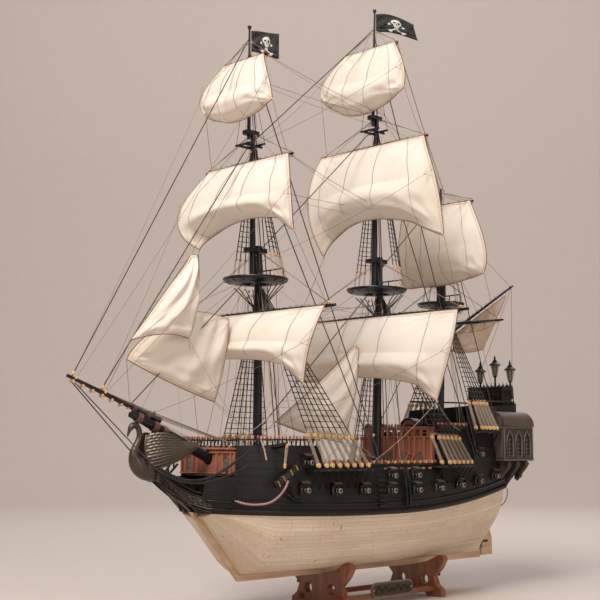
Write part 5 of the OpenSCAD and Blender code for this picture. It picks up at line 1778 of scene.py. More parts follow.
@dataclass
class Gunnery:
    """Guns, their hoods and lids, the red scuttles and the hawse rings."""

    look: Finishes

    def build(self) -> None:
        """Makes the guns and what goes round them."""
        barrel = Bench.take(Bench.turned("barrel", ((3.0, 0), (3.0, 1.2), (2.5, 1.5), (2.3, 4.6), (2.7, 5.0),
                                                    (2.7, 5.8), (2.2, 6.1), (2.2, 7.6), (2.9, 8.2), (3.0, 9.6),
                                                    (2.4, 10.2), (1.5, 10.2), (1.4, 4.0)), 16))
        hood, lid = self.hood(), self.lid()
        guns, hoods, lids = Shape("gun_barrels"), Shape("port_hoods"), Shape("port_lids")
        for side in (1, -1):
            for x, z in GUN_PORTS:
                at = side_point(x, z, 0.4, side)
                out = self.outward(x, z, side)
                guns.add(barrel, aim(at, Vector((0, side, 0))))
                turn = Matrix.Translation(at) @ Matrix.Rotation(math.atan2(-out.x * side, abs(out.y)), 4, "Z")
                flip = Matrix.Diagonal((1, side, 1, 1))
                hoods.add(hood, turn @ flip)
                lids.add(lid, turn @ flip)
        guns.fit(self.look.gun, "cast_bronze", "cannons", smooth=40)
        hoods.fit(self.look.black, "black_paint", smooth=50)
        lids.fit(self.look.umber, "black_paint", smooth=50)
        self.scuttles()
        self.hawse_rings()

    @staticmethod
    def outward(x: float, z: float, side: int) -> Vector:
        """The way the planking faces at a place."""
        slope = (Hull.side_at(x + 3, z) - Hull.side_at(x - 3, z)) / 6
        return Vector((-slope, side, 0)).normalized()

    @staticmethod
    def hood() -> bpy.types.Mesh:
        """An arched rain-hood over a port: the upper half of a ring."""
        Bench.only(None)
        bpy.ops.mesh.primitive_torus_add(major_radius=6.2 * MM, minor_radius=0.75 * MM, major_segments=24,
                                         minor_segments=6, rotation=(math.pi / 2, 0, 0))
        obj = bpy.context.object
        bpy.ops.object.transform_apply(location=False, rotation=True)
        Bench.edit(obj, lambda f: f.calc_center_median().z < 2.2 * MM)
        bpy.ops.mesh.delete(type="FACE")
        Bench.leave()
        obj.data.transform(Matrix.Translation(vec(0, 1.4, 0.6)) @ Matrix.Diagonal((1.0, 1.7, 1.0, 1.0)))
        return Bench.take(obj)

    @staticmethod
    def lid() -> bpy.types.Mesh:
        """A raised port lid with a sunk panel, hinged at its top edge."""
        obj = Bench.box("lid", (10.4, 1.2, 6.4), 0.3)
        Bench.edit(obj, lambda f: f.normal.y > 0.95)
        bpy.ops.mesh.inset(thickness=MM, depth=-0.35 * MM)
        Bench.leave()
        obj.data.transform(Matrix.Translation(vec(0, 4.6, 8.6)) @ Matrix.Rotation(math.radians(68), 4, "X"))
        return Bench.take(obj)

    def scuttles(self) -> None:
        """Small red-brown scuttles in a row under the waist rail."""
        pattern = Bench.take(Bench.box("scuttle", (5.4, 1.2, 2.4), 0.4))
        shape = Shape("waist_scuttles")
        for side in (1, -1):
            for k in range(9):
                x = -118 + k * 14 if k < 7 else 26 + (k - 7) * 14
                shape.add(pattern, Matrix.Translation(side_point(x, 154.2, 0.2, side)))
        shape.fit(self.look.red, "red_mahogany", smooth=40)

    def hawse_rings(self) -> None:
        """A moulded ring round each hawse hole, with its small fairlead."""
        shape = Shape("hawse_rings")
        for side in (1, -1):
            at = Vector((172, side * 43, 124))
            out = self.outward(168, 124, side)
            up = UP
            shape.tube(spiral(at, up.cross(out).normalized(), up, 3.0, 3.0, 1.0), 0.9 * MM, 8)
            shape.tube(spiral(at + out * 0.8, up.cross(out).normalized(), up, 1.8, 1.8, 1.0), 0.5 * MM, 6)
        shape.fit(self.look.iron, "black_iron")


@dataclass
class Head:
    """The bow's carved work: swan, trail boards, cheeks and the bowsprit's ropes."""

    look: Finishes

    def build(self) -> None:
        """Makes the head."""
        self.swan()
        self.wings()
        self.trail_boards()
        self.bands()

    def swan(self) -> None:
        """The bird's body, neck, head and bill in one swept form, with its eye and breast feathers."""
        spine = ((233, 146, 1.5), (238, 148.5, 4.5), (246, 151, 7.4), (256, 155, 8.8), (263, 160.5, 8.4),
                 (267.4, 167, 6.2), (267.6, 174, 4.4), (264.4, 181, 3.5), (261.6, 188, 3.0), (262.2, 194.5, 2.9),
                 (265.4, 199, 3.1), (269.6, 199.6, 3.3), (272.6, 197, 2.7), (274.6, 193.4, 1.6), (276, 189.6, 0.9),
                 (276.4, 188.4, 0.4))
        path = rounded([vec(x, 0, z) for x, z, _ in spine], 4)
        radii = rounded([Vector((r, 0, 0)) for _, _, r in spine], 4)
        shape = Shape("swan_body")
        shape.tube(path, [max(0.2, r.x) * MM for r in radii], 16)
        for side in (1, -1):
            shape.tube([vec(270.4, side * 2.5, 200), vec(270.4, side * 3.5, 200)], 0.7 * MM, 8)
            for k in range(22):
                a, row = k * 0.52, k // 5
                x, z = 262 - row * 5.2 + 1.5 * math.cos(a), 165 - row * 2.3 - (k % 5) * 3.0
                y = side * (8.6 - 0.5 * abs(k % 5 - 2))
                self.feather(shape, Vector((x, y, z)), Vector((-1, 0, -0.45)), UP, 6.0, 1.8)
        shape.fit(self.look.bronze, "cast_bronze", "swan_figurehead", smooth=50)

    @staticmethod
    def feather(shape: Shape, root: Vector, way: Vector, up: Vector, length: float, wide: float) -> None:
        """Adds one ridged feather.

        Args:
            shape: the shape it joins.
            root: where it starts, in millimetres.
            way: the way it points.
            up: the way its width runs.
            length: its length in millimetres.
            wide: its half-width in millimetres.
        """
        way = way.normalized()
        out = way.cross(up).normalized()
        out = out if out.y * root.y > 0 else -out
        across = out.cross(way).normalized()
        grid = []
        for t, w, h in ((0, 0.5, 0.1), (0.35, 1.0, 0.7), (0.75, 0.8, 0.8), (1.0, 0.1, 0.2)):
            mid = root + way * (length * t)
            grid.append([mid - across * (wide * w), mid + out * h, mid + across * (wide * w)])
        shape.slab(grid, out * -0.7)

    def wings(self) -> None:
        """Two raised wings, each a curved board laid with rows of feathers; the board is dark umber, painted shade in
        the hollows between the feather rows.
        """
        for side, word in SIDES:
            shape, board = Shape(f"swan_wing_{word}"), Shape(f"swan_wing_shade_board_{word}")

            def place(t: float, w: float) -> Vector:
                """A point of the wing: t from shoulder to tip, w from its lower to its upper edge."""
                low = 155 + 20 * t - 2 * math.sin(math.pi * t)
                high = lerp(190, 181, t) + 5 * math.sin(math.pi * min(1, t * 1.3))
                bow = 2.6 * math.sin(math.pi * w) + 1.5 * math.sin(math.pi * t) - 3.4 * (1 - t) ** 6
                ahead = 262 - 48 * t - 7 * (1 - w) * (1 - t) - 6 * (2 * w - 1) ** 2 * (1 - t)
                return Vector((ahead, side * (7.4 + 15 * t + bow), lerp(low, high, w)))

            grid = [[place(i / 12, j / 6) for i in range(13)] for j in range(7)]
            board.slab(grid, Vector((0, -side * 1.8, 0)))
            shape.tube([place(0, j / 12) * MM for j in range(13)], 0.9 * MM, 8)
            for row in range(12):
                w = 0.04 + row * 0.084
                for k in range(11):
                    t = (k + 0.5 * (row % 2)) / 11.5
                    root = place(t, w)
                    way = place(min(1.0, t + 0.1), w) - root + Vector((0, 0, -1.1 + 0.2 * row))
                    self.feather(shape, root + Vector((0, side * 0.3, 0)), way, UP,
                                 8 + 3 * t, 1.25)
            shape.fit(self.look.gilt, "cast_bronze", "swan_figurehead", smooth=45)
            # the board shows between the feather rows: its dark umber is painted shade for those hollows
            board.fit(self.look.umber, "cast_bronze", "swan_figurehead", smooth=45)

    @staticmethod
    def sweep(lift: float = 0.0) -> list[tuple[Vector, float]]:
        """The line of the cheeks, from the swan down and out to the bow, with each point's way out."""
        line = ((242, 3.0, 150), (232, 3.3, 143), (221, 3.9, 136), (210, 6.0, 129.5), (201, 10.5, 124.5),
                (193.5, 18, 121), (188, 25.5, 119))
        return [(p / MM, k / 48) for k, p in enumerate(rounded([vec(x, y, z + lift) for x, y, z in line], 8))]

    def trail_boards(self) -> None:
        """Carved panels under the cheeks, with scrolls in a raised border."""
        for side, word in SIDES:
            panel, carving = Shape(f"trail_board_{word}"), Shape(f"trail_carving_{word}")
            cheeks = Shape(f"cheeks_{word}")
            line = [(Vector((p.x, p.y * side, p.z)), t) for p, t in self.sweep()]
            half = 4.6
            panel.slab([[p + Vector((0, 0, w * (half - t))) for p, t in line] for w in (-1, 0, 1)],
                       Vector((0, -side * 1.5, 0)))
            for w in (-1, 1):
                edge = [(p + Vector((0, side * 0.3, w * (half - t)))) * MM for p, t in line]
                carving.tube(edge, 0.55 * MM, 6)
            for k in range(12):
                p, q = line[2 + 4 * k][0], line[4 + 4 * k][0]
                right = (q - p).normalized()
                up = Vector((0, 0, 1 if k % 2 else -1))
                mid = p + Vector((0, side * 0.5, 0)) + up * 0.4
                carving.tube(spiral(mid, right, up, 2.5, 0.5, 1.5, 0.1), 0.48 * MM, 6)
                leaf = mid + right * 2.2 - up * 1.6
                carving.tube([(mid + right * 1.2) * MM, leaf * MM, (leaf + right * 1.2 + up * 0.4) * MM],
                             [0.5 * MM, 0.8 * MM, 0.15 * MM], 6)
            for lift, thick in ((6.4, 1.3), (10.4, 1.0), (-6.2, 0.9)):
                rail = [(Vector((p.x, p.y * side, p.z)) + Vector((0, 0, -0.6 * t))) * MM for p, t in self.sweep(lift)]
                cheeks.tube(rail, thick * MM, 8)
            panel.fit(self.look.black, "black_paint")
            carving.fit(self.look.gilt, "cast_bronze")
            cheeks.fit(self.look.black, "black_paint")

    def bands(self) -> None:
        """Rope turns round the bowsprit and jib boom."""
        shape = Shape("bowsprit_woldings")
        foot, end = Vector((158, 0, 161.5)), Vector((272, 0, 211.5))
        for t in (0.36, 0.62, 0.72, 0.9):
            for k in range(6):
                at = foot.lerp(end, t + k * 0.0085)
                Rigging.hoop(shape, at, lerp(6, 4.5, t) + 0.4, end - foot, 0.55)
        boom, tip = Vector((236, 0, 205)), Vector((348.6, 0, 246))
        for t in (0.12, 0.28):
            for k in range(4):
                Rigging.hoop(shape, boom.lerp(tip, t + k * 0.009), 3.6 - t, tip - boom, 0.5)
        shape.fit(self.look.wolding, "dark_rope")


@dataclass
class Anchors:
    """Wooden-stocked anchors with flukes, hung by a tackle from each cathead."""

    look: Finishes

    def build(self) -> None:
        """Makes both anchors."""
        iron, stock = Shape("anchor_irons"), Shape("anchor_stocks")
        bands, ropes, blocks = Shape("anchor_stock_bands"), Shape("anchor_tackles"), Shape("anchor_blocks")
        beam = Shape("catheads")
        fluke = self.fluke()
        timber = self.stock_pattern()
        band = Bench.take(Bench.box("band", (1.4, 6.3, 6.3), 0.3))
        block = Rigging.block_pattern()
        for side in (1, -1):
            ring = Vector((127, side * 66, 149))
            mid = ring + Vector((0, side * 6, 0))
            way = Vector((32, 0, -20)).normalized()
            turn = Matrix.Rotation(math.atan2(20, 32), 4, "Y")
            stock.add(timber, Matrix.Translation(mid * MM) @ turn)
            for t in (-15, -6, 6, 15):
                bands.add(band, Matrix.Translation((mid + way * t) * MM) @ turn)
            crown = ring + Vector((-14, side * 4.2, -24))
            iron.tube([(mid + Vector((2, 0, 3))) * MM, mid * MM, crown * MM], [1.2 * MM, 1.4 * MM, 1.9 * MM], 8)
            arm_way = Vector((0.86, 0, 0.3)).normalized()
            arc = []
            for k in range(13):
                a = math.radians(-66 + 11 * k)
                down = Vector((-0.5, 0, -0.86))
                arc.append((crown + arm_way * (13 * math.sin(a)) + down * (6 * math.cos(a) - 5)) * MM)
            iron.tube(arc, [lerp(0.8, 1.7, 1 - abs(k - 6) / 6) * MM for k in range(13)], 8)
            for tip, inner in ((arc[0], arc[2]), (arc[-1], arc[-3])):
                iron.add(fluke, aim(tip.lerp(inner, 0.6), tip - inner))
            shackle = ring + Vector((2, side * 6, 6))
            iron.tube(spiral(shackle, AHEAD, UP, 3, 3, 1), 0.6 * MM, 6)
            head = Vector((129, side * 75, 181))
            beam.tube([vec(136, side * 50, 177), head * MM], 2.6 * MM, 4)
            hook = ring + Vector((3, side * 7, 10))
            for dx in (-1.6, 0, 1.6):
                ropes.tube([(head + Vector((dx, 0, -1))) * MM, (hook + Vector((dx * 0.7, 0, 2))) * MM], 0.42 * MM, 6)
            blocks.add(block, aim(hook * MM, head - hook, (1.5, 1.5, 1.5)))
            blocks.add(block, aim((head + Vector((0, 0, -1.5))) * MM, head - hook, (1.2, 1.2, 1.2)))
            ropes.tube([vec(152, side * 60, 186), vec(150, side * 63, 176), vec(149, side * 65.5, 165)], 0.8 * MM, 6)
        iron.fit(self.look.iron, "black_iron", "anchors", smooth=50)
        stock.fit(self.look.black, "black_paint", "anchors", smooth=40)
        bands.fit(self.look.brass, "bell_brass", smooth=40)
        beam.fit(self.look.black, "black_paint", "anchors", smooth=40)
        ropes.fit(self.look.hemp, "dark_rope")
        blocks.fit(self.look.box, "boxwood", smooth=50)

    @staticmethod
    def fluke() -> bpy.types.Mesh:
        """A spade-shaped palm."""
        obj = Bench.drum("fluke", 3.2, 0.9, 3, 0.25)
        obj.data.transform(Matrix.Rotation(math.pi / 2, 4, "X") @ Matrix.Diagonal((0.9, 1.3, 1.0, 1.0)))
        return Bench.take(obj)

    @staticmethod
    def stock_pattern() -> bpy.types.Mesh:
        """A square stock, thinner towards both ends."""
        obj = Bench.box("stock", (38, 5.4, 5.4), 0.4)
        for sign in (1, -1):
            Bench.edit(obj, lambda f: f.normal.x * sign > 0.95)
            bpy.ops.transform.resize(value=(1, 0.72, 0.72), center_override=(sign * 19 * MM, 0, 0))
            Bench.leave()
        return Bench.take(obj)


@dataclass
class Stern:
    """Lanterns, medallions, cresting, gallery windows, roofs and brackets."""

    WINDOW = ((0, 166), (0, 186), (1.6, 193), (4, 197), (7, 200), (10, 197), (12.4, 193), (14, 186), (14, 166),
              (0, 166))

    look: Finishes

    def build(self) -> None:
        """Makes the stern."""
        self.lanterns()
        self.upperworks()
        for side, word in SIDES:
            self.gallery(side, word)

    def lanterns(self) -> None:
        """Three lanterns with barred glass, wide brims and crowned tops."""
        glass = Bench.take(Bench.turned("glass", ((2.2, 14), (5.0, 29.4)), 6))
        roof = Bench.take(Bench.turned("roof", ((5.4, 28.8), (8.0, 29.4), (8.0, 30.2), (5.8, 32.2), (3.2, 34.2),
                                                (3.4, 35), (2.6, 36), (1.0, 38), (1.6, 39.4), (0.8, 41), (0.2, 43.5)),
                                       18))
        frames, panes = Shape("stern_lantern_frames"), Shape("stern_lantern_panes")
        for y, drop in ((0, 0), (24.5, 7.5), (-24.5, 7.5)):
            base = Vector((-337.5, y, 259 - drop))
            place = Matrix.Translation(base * MM)
            post = Bench.take(Bench.turned("post", ((3.4, drop - 2), (3.4, drop), (1.6, drop + 2), (1.1, 10),
                                                    (1.7, 11), (1.1, 12), (1.4, 13), (2.8, 15)), 12))
            frames.add(post, place)
            frames.add(roof, place)
            panes.add(glass, place)
            for k in range(6):
                a = k * math.tau / 6 + math.pi / 2
                way = Vector((math.sin(a), -math.cos(a), 0))
                frames.tube([(base + way * 2.4 + Vector((0, 0, 14))) * MM,
                             (base + way * 5.3 + Vector((0, 0, 29.4))) * MM], 0.42 * MM, 5)
            for h in (17.5, 20.5, 23.5, 26.5):
                r = lerp(2.4, 5.2, (h - 14) / 15.4)
                Rigging.hoop(frames, base + Vector((0, 0, h)), r, UP, 0.34)
        frames.fit(self.look.black, "black_paint", "stern_lanterns", smooth=40)
        # the panes glow faintly in their own tone: painted light
        panes.fit(self.look.smoked, "black_paint", smooth=20)

    def upperworks(self) -> None:
        """Panels, medallions and scroll cresting on the lantern locker and the stern board."""
        trim, carving = Shape("stern_mouldings"), Shape("stern_carvings")
        up, along = UP, AHEAD
        for side in (1, -1):
            right = Vector((0, side, 0))
            for x, near, far, low, high, thick in ((-313.9, 2.2, 25.8, 224, 253, 0.6), (-314.3, 4, 24, 226, 251, 0.4)):
                corners = ((near, low), (far, low), (far, high), (near, high), (near, low))
                trim.tube([vec(x, side * y, z) for y, z in corners], thick * MM, 6)
            corners = ((-333, 242), (-317, 242), (-317, 254), (-333, 254), (-333, 242))
            trim.tube([vec(x, side * 28.1, z) for x, z in corners], 0.5 * MM, 6)
            mid = Vector((-313.6, side * 14, 238.6))
            for radius, thick in ((8.6, 0.55), (7.0, 0.4)):
                carving.tube(spiral(mid, right, up, radius, radius, 1), thick * MM, 6)
            for k in range(8):
                a = k * math.tau / 8
                way = right * math.cos(a) + up * math.sin(a)
                carving.tube([(mid + way * 1.6) * MM, (mid + way * 4) * MM, (mid + way * 6.6) * MM],
                             [0.5 * MM, MM, 0.2 * MM], 6)
            for x in (-329, -321):
                at = Vector((x, side * 28.6, 249.6))
                carving.tube(spiral(at, along, up, 2.9, 0.6, 1.5), 0.5 * MM, 6)
                carving.tube(spiral(at + Vector((0, 0, -3.4)), -along, -up, 2.2, 0.5, 1.2), 0.45 * MM, 6)
            for k in range(3):
                foot = Vector((-337.4, side * (6 + 6.4 * k), 257))
                trim.tube(spiral(foot + Vector((0, 0, 2.2)), right, up, 2.6, 0.7, -1.3, 0.6), 0.7 * MM, 6)
                trim.tube([foot * MM, (foot + Vector((0, side * 1.2, 4.5))) * MM,
                           (foot + Vector((0, -side * 0.5, 8))) * MM], [1.1 * MM, 0.8 * MM, 0.3 * MM], 6)
            for k in range(3):
                at = Vector((-330 + 6 * k, side * 26.6, 258))
                trim.tube(spiral(at, along, up, 2.2, 0.6, 1.3, 0.6), 0.6 * MM, 6)
            for z, out, thick in ((257.2, 0.2, 1.1), (222, 0.0, 0.8)):
                trim.tube([vec(-336, side * (28 + out), z), vec(-313.6 + out, side * (28 + out), z),
                           vec(-313.6 + out, 0, z)], thick * MM, 6)
        trim.fit(self.look.black, "black_paint", smooth=50)
        carving.fit(self.look.gun, "cast_bronze", smooth=50)

    def gallery(self, side: int, word: str) -> None:
        """One quarter gallery: roof, pointed windows with bars, a grey end panel and scrolled brackets."""
        y_in, y_out = 42.5, 59.5
        roof = Shape(f"gallery_roof_{word}")
        arc = [(math.cos(a), math.sin(a)) for a in (k * math.pi / 24 for k in range(13))]
        grid = [[Vector((x, side * (y_in + 18.7 * c), 205 + 18.7 * s)) for c, s in arc]
                for x in [-336.0 + 6.5 * k for k in range(11)]]
        roof.slab(grid, Vector((0, side * 0.4, 0.6)))
        roof.fit(self.look.roof, "black_paint", smooth=50)
        bars, panes = Shape(f"gallery_windows_{word}"), Shape(f"gallery_panes_{word}")
        for i in range(3):
            x0 = -329.5 + i * 19
            mid = x0 + 7
            outline = [Vector((x0 + dx, 0, z)) for dx, z in self.WINDOW]
            for grow, thick in ((0.0, 0.75), (0.28, 0.5)):
                centre = Vector((mid, 0, 183))
                bars.tube([(p + (p - centre) * -grow * 0.4 + Vector((0, side * (y_out + 0.3), 0))) * MM
                           for p in outline], thick * MM, 6)
            for z in (171.5, 177, 182.5, 188):
                bars.tube([vec(x0 + 1, side * 58.4, z), vec(x0 + 13, side * 58.4, z)], 0.4 * MM, 5)
            bars.tube([vec(mid, side * 58.4, 167), vec(mid, side * 58.4, 198)], 0.4 * MM, 5)
            panes.slab([[vec(x, side * 57.7, z) / MM for x in (x0 + 0.4, x0 + 13.6)] for z in (166.4, 197)],
                       Vector((0, side * 0.4, 0)))
        for z in (162.4, 203.6):
            bars.tube([vec(-335, side * 60, z), vec(-272, side * 60, z), vec(-271.4, side * 43, z)], MM, 6)
        for x in (-334.4, -272.4):
            bars.tube([vec(x, side * 59.8, 162), vec(x, side * 59.8, 204)], 0.9 * MM, 6)
        panel = Shape(f"gallery_end_panel_{word}")
        panel.slab([[Vector((-273.2, side * y, z)) for y in (45, 57)] for z in (165.5, 200.5)], Vector((0.5, 0, 0)))
        frame_path = [(-272, 44.6, 165), (-272, 57.6, 165), (-272, 57.6, 201), (-272, 44.6, 201), (-272, 44.6, 165)]
        bars.tube([vec(x, side * y, z) for x, y, z in frame_path], 0.8 * MM, 6)
        brackets = Shape(f"gallery_brackets_{word}")
        for i in range(3):
            x = -320.5 + i * 19
            back = rounded([vec(x, side * y, z) for y, z in ((58, 160), (57, 154), (51, 147), (46.5, 140),
                                                             (43.8, 136))], 5)
            brackets.tube(back, [lerp(3.6, 1.4, k / (len(back) - 1)) * MM for k in range(len(back))], 8)
            for y, z, r in ((57.5, 156, 3.6), (47, 141, 2.6)):
                for dx in (-3.2, 3.2):
                    brackets.tube(spiral(Vector((x + dx, side * y, z)), Vector((0, side, 0)), UP,
                                         r, 0.6, 1.6), 0.6 * MM, 6)
        bars.fit(self.look.grey, "black_paint", smooth=50)
        panes.fit(self.look.pane, "black_paint", smooth=20)
        panel.fit(self.look.grey, "black_paint", smooth=30)
        brackets.fit(self.look.umber, "black_paint", smooth=50)


@dataclass
class DeckWork:
    """Rails, pins, bulkhead joinery, ladders, capstan, wheel and the belfry's roof."""

    look: Finishes

    def build(self) -> None:
        """Makes the deck fittings."""
        self.pins()
        self.joinery()
        self.furniture()
        self.tops()

    def pins(self) -> None:
        """Belaying pins along the rails, and small tan blocks lashed beside them."""
        pin = Bench.take(Bench.turned("pin", ((0.5, -4), (0.55, 0), (0.9, 0.3), (1.1, 2.2), (0.7, 3.4), (0.3, 3.9)), 8))
        block = Rigging.block_pattern()
        pins, blocks = Shape("belaying_pins"), Shape("rail_blocks")
        rows = ((74, 168, 21, 186.6), (-134, 66, 34, 159.8), (-210, -142, 14, 204.6))
        for x0, x1, count, z in rows:
            for i in range(count):
                x = lerp(x0, x1, i / (count - 1))
                for side in (1, -1):
                    at = vec(x, side * (Hull.rail_half(x) - 1.4), z)
                    pins.add(pin, Matrix.Translation(at))
                    if i % 2:
                        blocks.add(block, aim(at + vec(1.6, 0, 1.6), Vector((0.2, 0.1, 1)), (0.9, 0.9, 0.9)))
        pins.fit(self.look.red, "red_mahogany")
        blocks.fit(self.look.box, "boxwood", smooth=50)

    def joinery(self) -> None:
        """Pilasters, mouldings and arched door panels of the two bulkheads."""
        wood, doors = Shape("bulkhead_joinery"), Shape("bulkhead_doors")
        pilaster = Bench.take(Bench.box("pilaster", (1.8, 2.6, 21), 0.4))
        for y in (-42, -36.5, -23.5, -15, 15, 23.5, 36.5, 42):
            wood.add(pilaster, Matrix.Translation(vec(172.3, y, 161.5)))
        for z in (151.4, 172.6, 176.5):
            wood.tube([vec(172.6, -44, z), vec(172.6, 44, z)], MM, 6)
        for side in (1, -1):
            self.arched(doors, wood, 171.0, side * 30, 152.4, 10, 17)
        tall = Bench.take(Bench.box("tall_pilaster", (2.0, 3.0, 40), 0.4))
        for y in (-54, -43, -28, -20, -4.5, 4.5, 20, 28, 43, 54):
            wood.add(tall, Matrix.Translation(vec(-132.2, y, 171)))
        for z in (151.6, 190.6, 201.8):
            wood.tube([vec(-132.6, -58, z), vec(-132.6, 58, z)], 1.2 * MM, 6)
        for y in (-36, -12, 12, 36):
            self.arched(doors, wood, -134.2, y, 153.2, 10, 20)
        wood.fit(self.look.red, "red_mahogany", smooth=40)
        doors.fit(self.look.grey, "red_mahogany", smooth=40)

    @staticmethod
    def arched(doors: Shape, wood: Shape, x: float, y: float, z: float, wide: float, high: float) -> None:
        """Adds an arched door panel with its frame, facing the bow."""
        half = wide / 2
        arch = [(y - half, z), (y - half, z + high - half)]
        arch += [(y - half * math.cos(a), z + high - half + half * math.sin(a)) for a in
                 (k * math.pi / 10 for k in range(1, 10))]
        arch += [(y + half, z + high - half), (y + half, z)]
        wood.tube([vec(x + 1.4, *p) for p in arch], 0.6 * MM, 6)
        rows = [[Vector((x + 0.4, p[0], z)) for p in arch], [Vector((x + 0.4, *p)) for p in arch]]
        doors.slab(rows, Vector((0.5, 0, 0)))
        for t in (0.3, 0.62):
            wood.tube([vec(x + 1.1, y - half, z + high * t), vec(x + 1.1, y + half, z + high * t)], 0.4 * MM, 5)

    def furniture(self) -> None:
        """Ladders to the quarterdeck, hatch coamings, capstan, wheel, and the belfry's cap."""
        red, brown = Shape("deck_ladders"), Shape("deck_furniture")
        tread = Bench.take(Bench.box("tread", (2.6, 9, 0.9), 0.2))
        for y in (-24, 24):
            for k in range(6):
                red.add(tread, Matrix.Translation(vec(-130.6 + k * 2.6, y, 170 - k * 3.5)))
            for dy in (-4.8, 4.8):
                red.tube([vec(-131.5, y + dy, 172), vec(-116, y + dy, 151)], 0.7 * MM, 4)
        rim = Bench.take(Bench.box("coaming", (27, 1.6, 3.6), 0.3))
        end = Bench.take(Bench.box("coaming_end", (1.6, 30, 3.6), 0.3))
        for x in (-50, 0, 40):
            for side in (1, -1):
                brown.add(rim, Matrix.Translation(vec(x, side * 15, 151.8)))
                brown.add(end, Matrix.Translation(vec(x + side * 13, 0, 151.8)))
        capstan = Bench.take(Bench.turned("capstan", ((6, 0), (6, 1.2), (3.6, 2), (3, 6), (4, 9), (5, 10), (5, 12.5),
                                                      (3, 13.4)), 16))
        brown.add(capstan, Matrix.Translation(vec(-24, 0, 150.4)))
        wheel = Vector((-186, 0, 183))
        for r in (6.5, 2.2):
            Rigging.hoop(brown, wheel, r, AHEAD, 0.7)
        for k in range(8):
            a = k * math.tau / 8
            brown.tube([wheel * MM, (wheel + Vector((0, 8.6 * math.cos(a), 8.6 * math.sin(a)))) * MM], 0.45 * MM, 6)
        brown.tube([vec(-188, 0, 172.5), vec(-188, 0, 184)], [2.2 * MM, 1.2 * MM], 8)
        cap = [[Vector((x, 14.4 * math.cos(a), 199.6 + 13.8 * math.sin(a))) for a in
                (k * math.pi / 12 for k in range(13))] for x in (-166.4, -153.6)]
        dark = Shape("belfry_cap")
        dark.slab(cap, Vector((0, 0, 1.2)))
        red.fit(self.look.red, "red_mahogany", smooth=40)
        brown.fit(self.look.grating, "red_mahogany", smooth=40)
        dark.fit(self.look.spar, "black_paint", smooth=40)

    def tops(self) -> None:
        """Rims, rails and brackets of the fighting tops, and iron hoops on the masts."""
        trim, hoops = Shape("top_trim"), Shape("mast_hoops")
        for mast, top, reach in ((Hull.FORE, 357, 35.5), (Hull.MAIN, 364, 36), (Hull.MIZZEN, 357, 29.5)):
            centre = Hull.mast(mast, top, 4)
            ring = [centre + Vector((reach * math.cos(k * math.tau / 48), reach * math.sin(k * math.tau / 48), 5.4))
                    for k in range(49)]
            trim.tube([p * MM for p in ring], MM, 6)
            for k in range(16):
                a = k * math.tau / 16
                way = Vector((math.cos(a), math.sin(a), 0))
                trim.tube([(centre + way * 7 + Vector((0, 0, -0.6))) * MM,
                           (centre + way * (reach - 2) + Vector((0, 0, 2.2))) * MM], 0.6 * MM, 4)
            rail = [centre + Vector((-reach * 0.62, y, 18)) for y in (-reach * 0.6, 0, reach * 0.6)]
            trim.tube([p * MM for p in rail], 0.9 * MM, 6)
            for p in rail:
                trim.tube([p * MM, (p - Vector((0, 0, 12))) * MM], 0.7 * MM, 6)
        for mast, low, high, thick in ((Hull.FORE, 190, 350, 5.3), (Hull.MAIN, 168, 356, 5.3),
                                       (Hull.MIZZEN, 206, 350, 4.1)):
            count = int((high - low) / 22)
            for k in range(count + 1):
                z = lerp(low, high, k / count)
                r = thick * lerp(1.0, 0.82, k / count)
                Rigging.hoop(hoops, Hull.mast(mast, z), r, UP, 0.6)
        trim.fit(self.look.spar, "black_paint", smooth=50)
        hoops.fit(self.look.iron, "black_iron", smooth=50)


@dataclass
class StandWork:
    """The nameplate's plain scroll ornament, its border and screws, and the stand's dowels."""

    look: Finishes

    def build(self) -> None:
        """Makes the stand's trim."""
        carving = Shape("nameplate_scrolls")
        y = 34.5
        right, up = AHEAD, UP
        border = []
        for k in range(33):
            a = math.tau * k / 32
            border.append(vec(-82 + math.copysign(28, math.cos(a)) + 7.4 * math.cos(a), y + 0.5,
                              16 + 7.4 * math.sin(a)))
        carving.tube(border, 0.5 * MM, 6)
        for k in range(5):
            for sign in (1, -1):
                mid = Vector((-82 + sign * (5 + k * 5.6), y, 16 + (1.1 if k % 2 else -1.1)))
                carving.tube(spiral(mid, right * sign, up * (1 if k % 2 else -1), 2.7, 0.5, 1.5), 0.42 * MM, 6)
        carving.tube(spiral(Vector((-82, y, 16)), right, up, 2.0, 2.0, 1), 0.5 * MM, 6)
        screw = Bench.take(Bench.turned("screw", ((1.5, 0), (1.5, 0.4), (0.9, 0.9)), 12))
        for x in (-114.5, -49.5):
            carving.add(screw, aim(vec(x, y + 0.1, 16), Vector((0, 1, 0.001))))
        carving.fit(self.look.gilt, "cast_bronze", smooth=50, body="stand")
        dowels = Shape("stand_dowels")
        dowel = Bench.take(Bench.turned("dowel", ((2.0, 0), (2.0, 0.5), (1.5, 0.9)), 12))
        for x in (4.5, -168.5):
            for side in (1, -1):
                for z in (26, 38):
                    dowels.add(dowel, aim(vec(x, side * 34, z), Vector((1 if x > 0 else -1, 0, 0.001))))
        dowels.fit(self.look.stand_rail, "stained_stand", smooth=50, body="stand")


# ---------------------------------------------------------------- studio


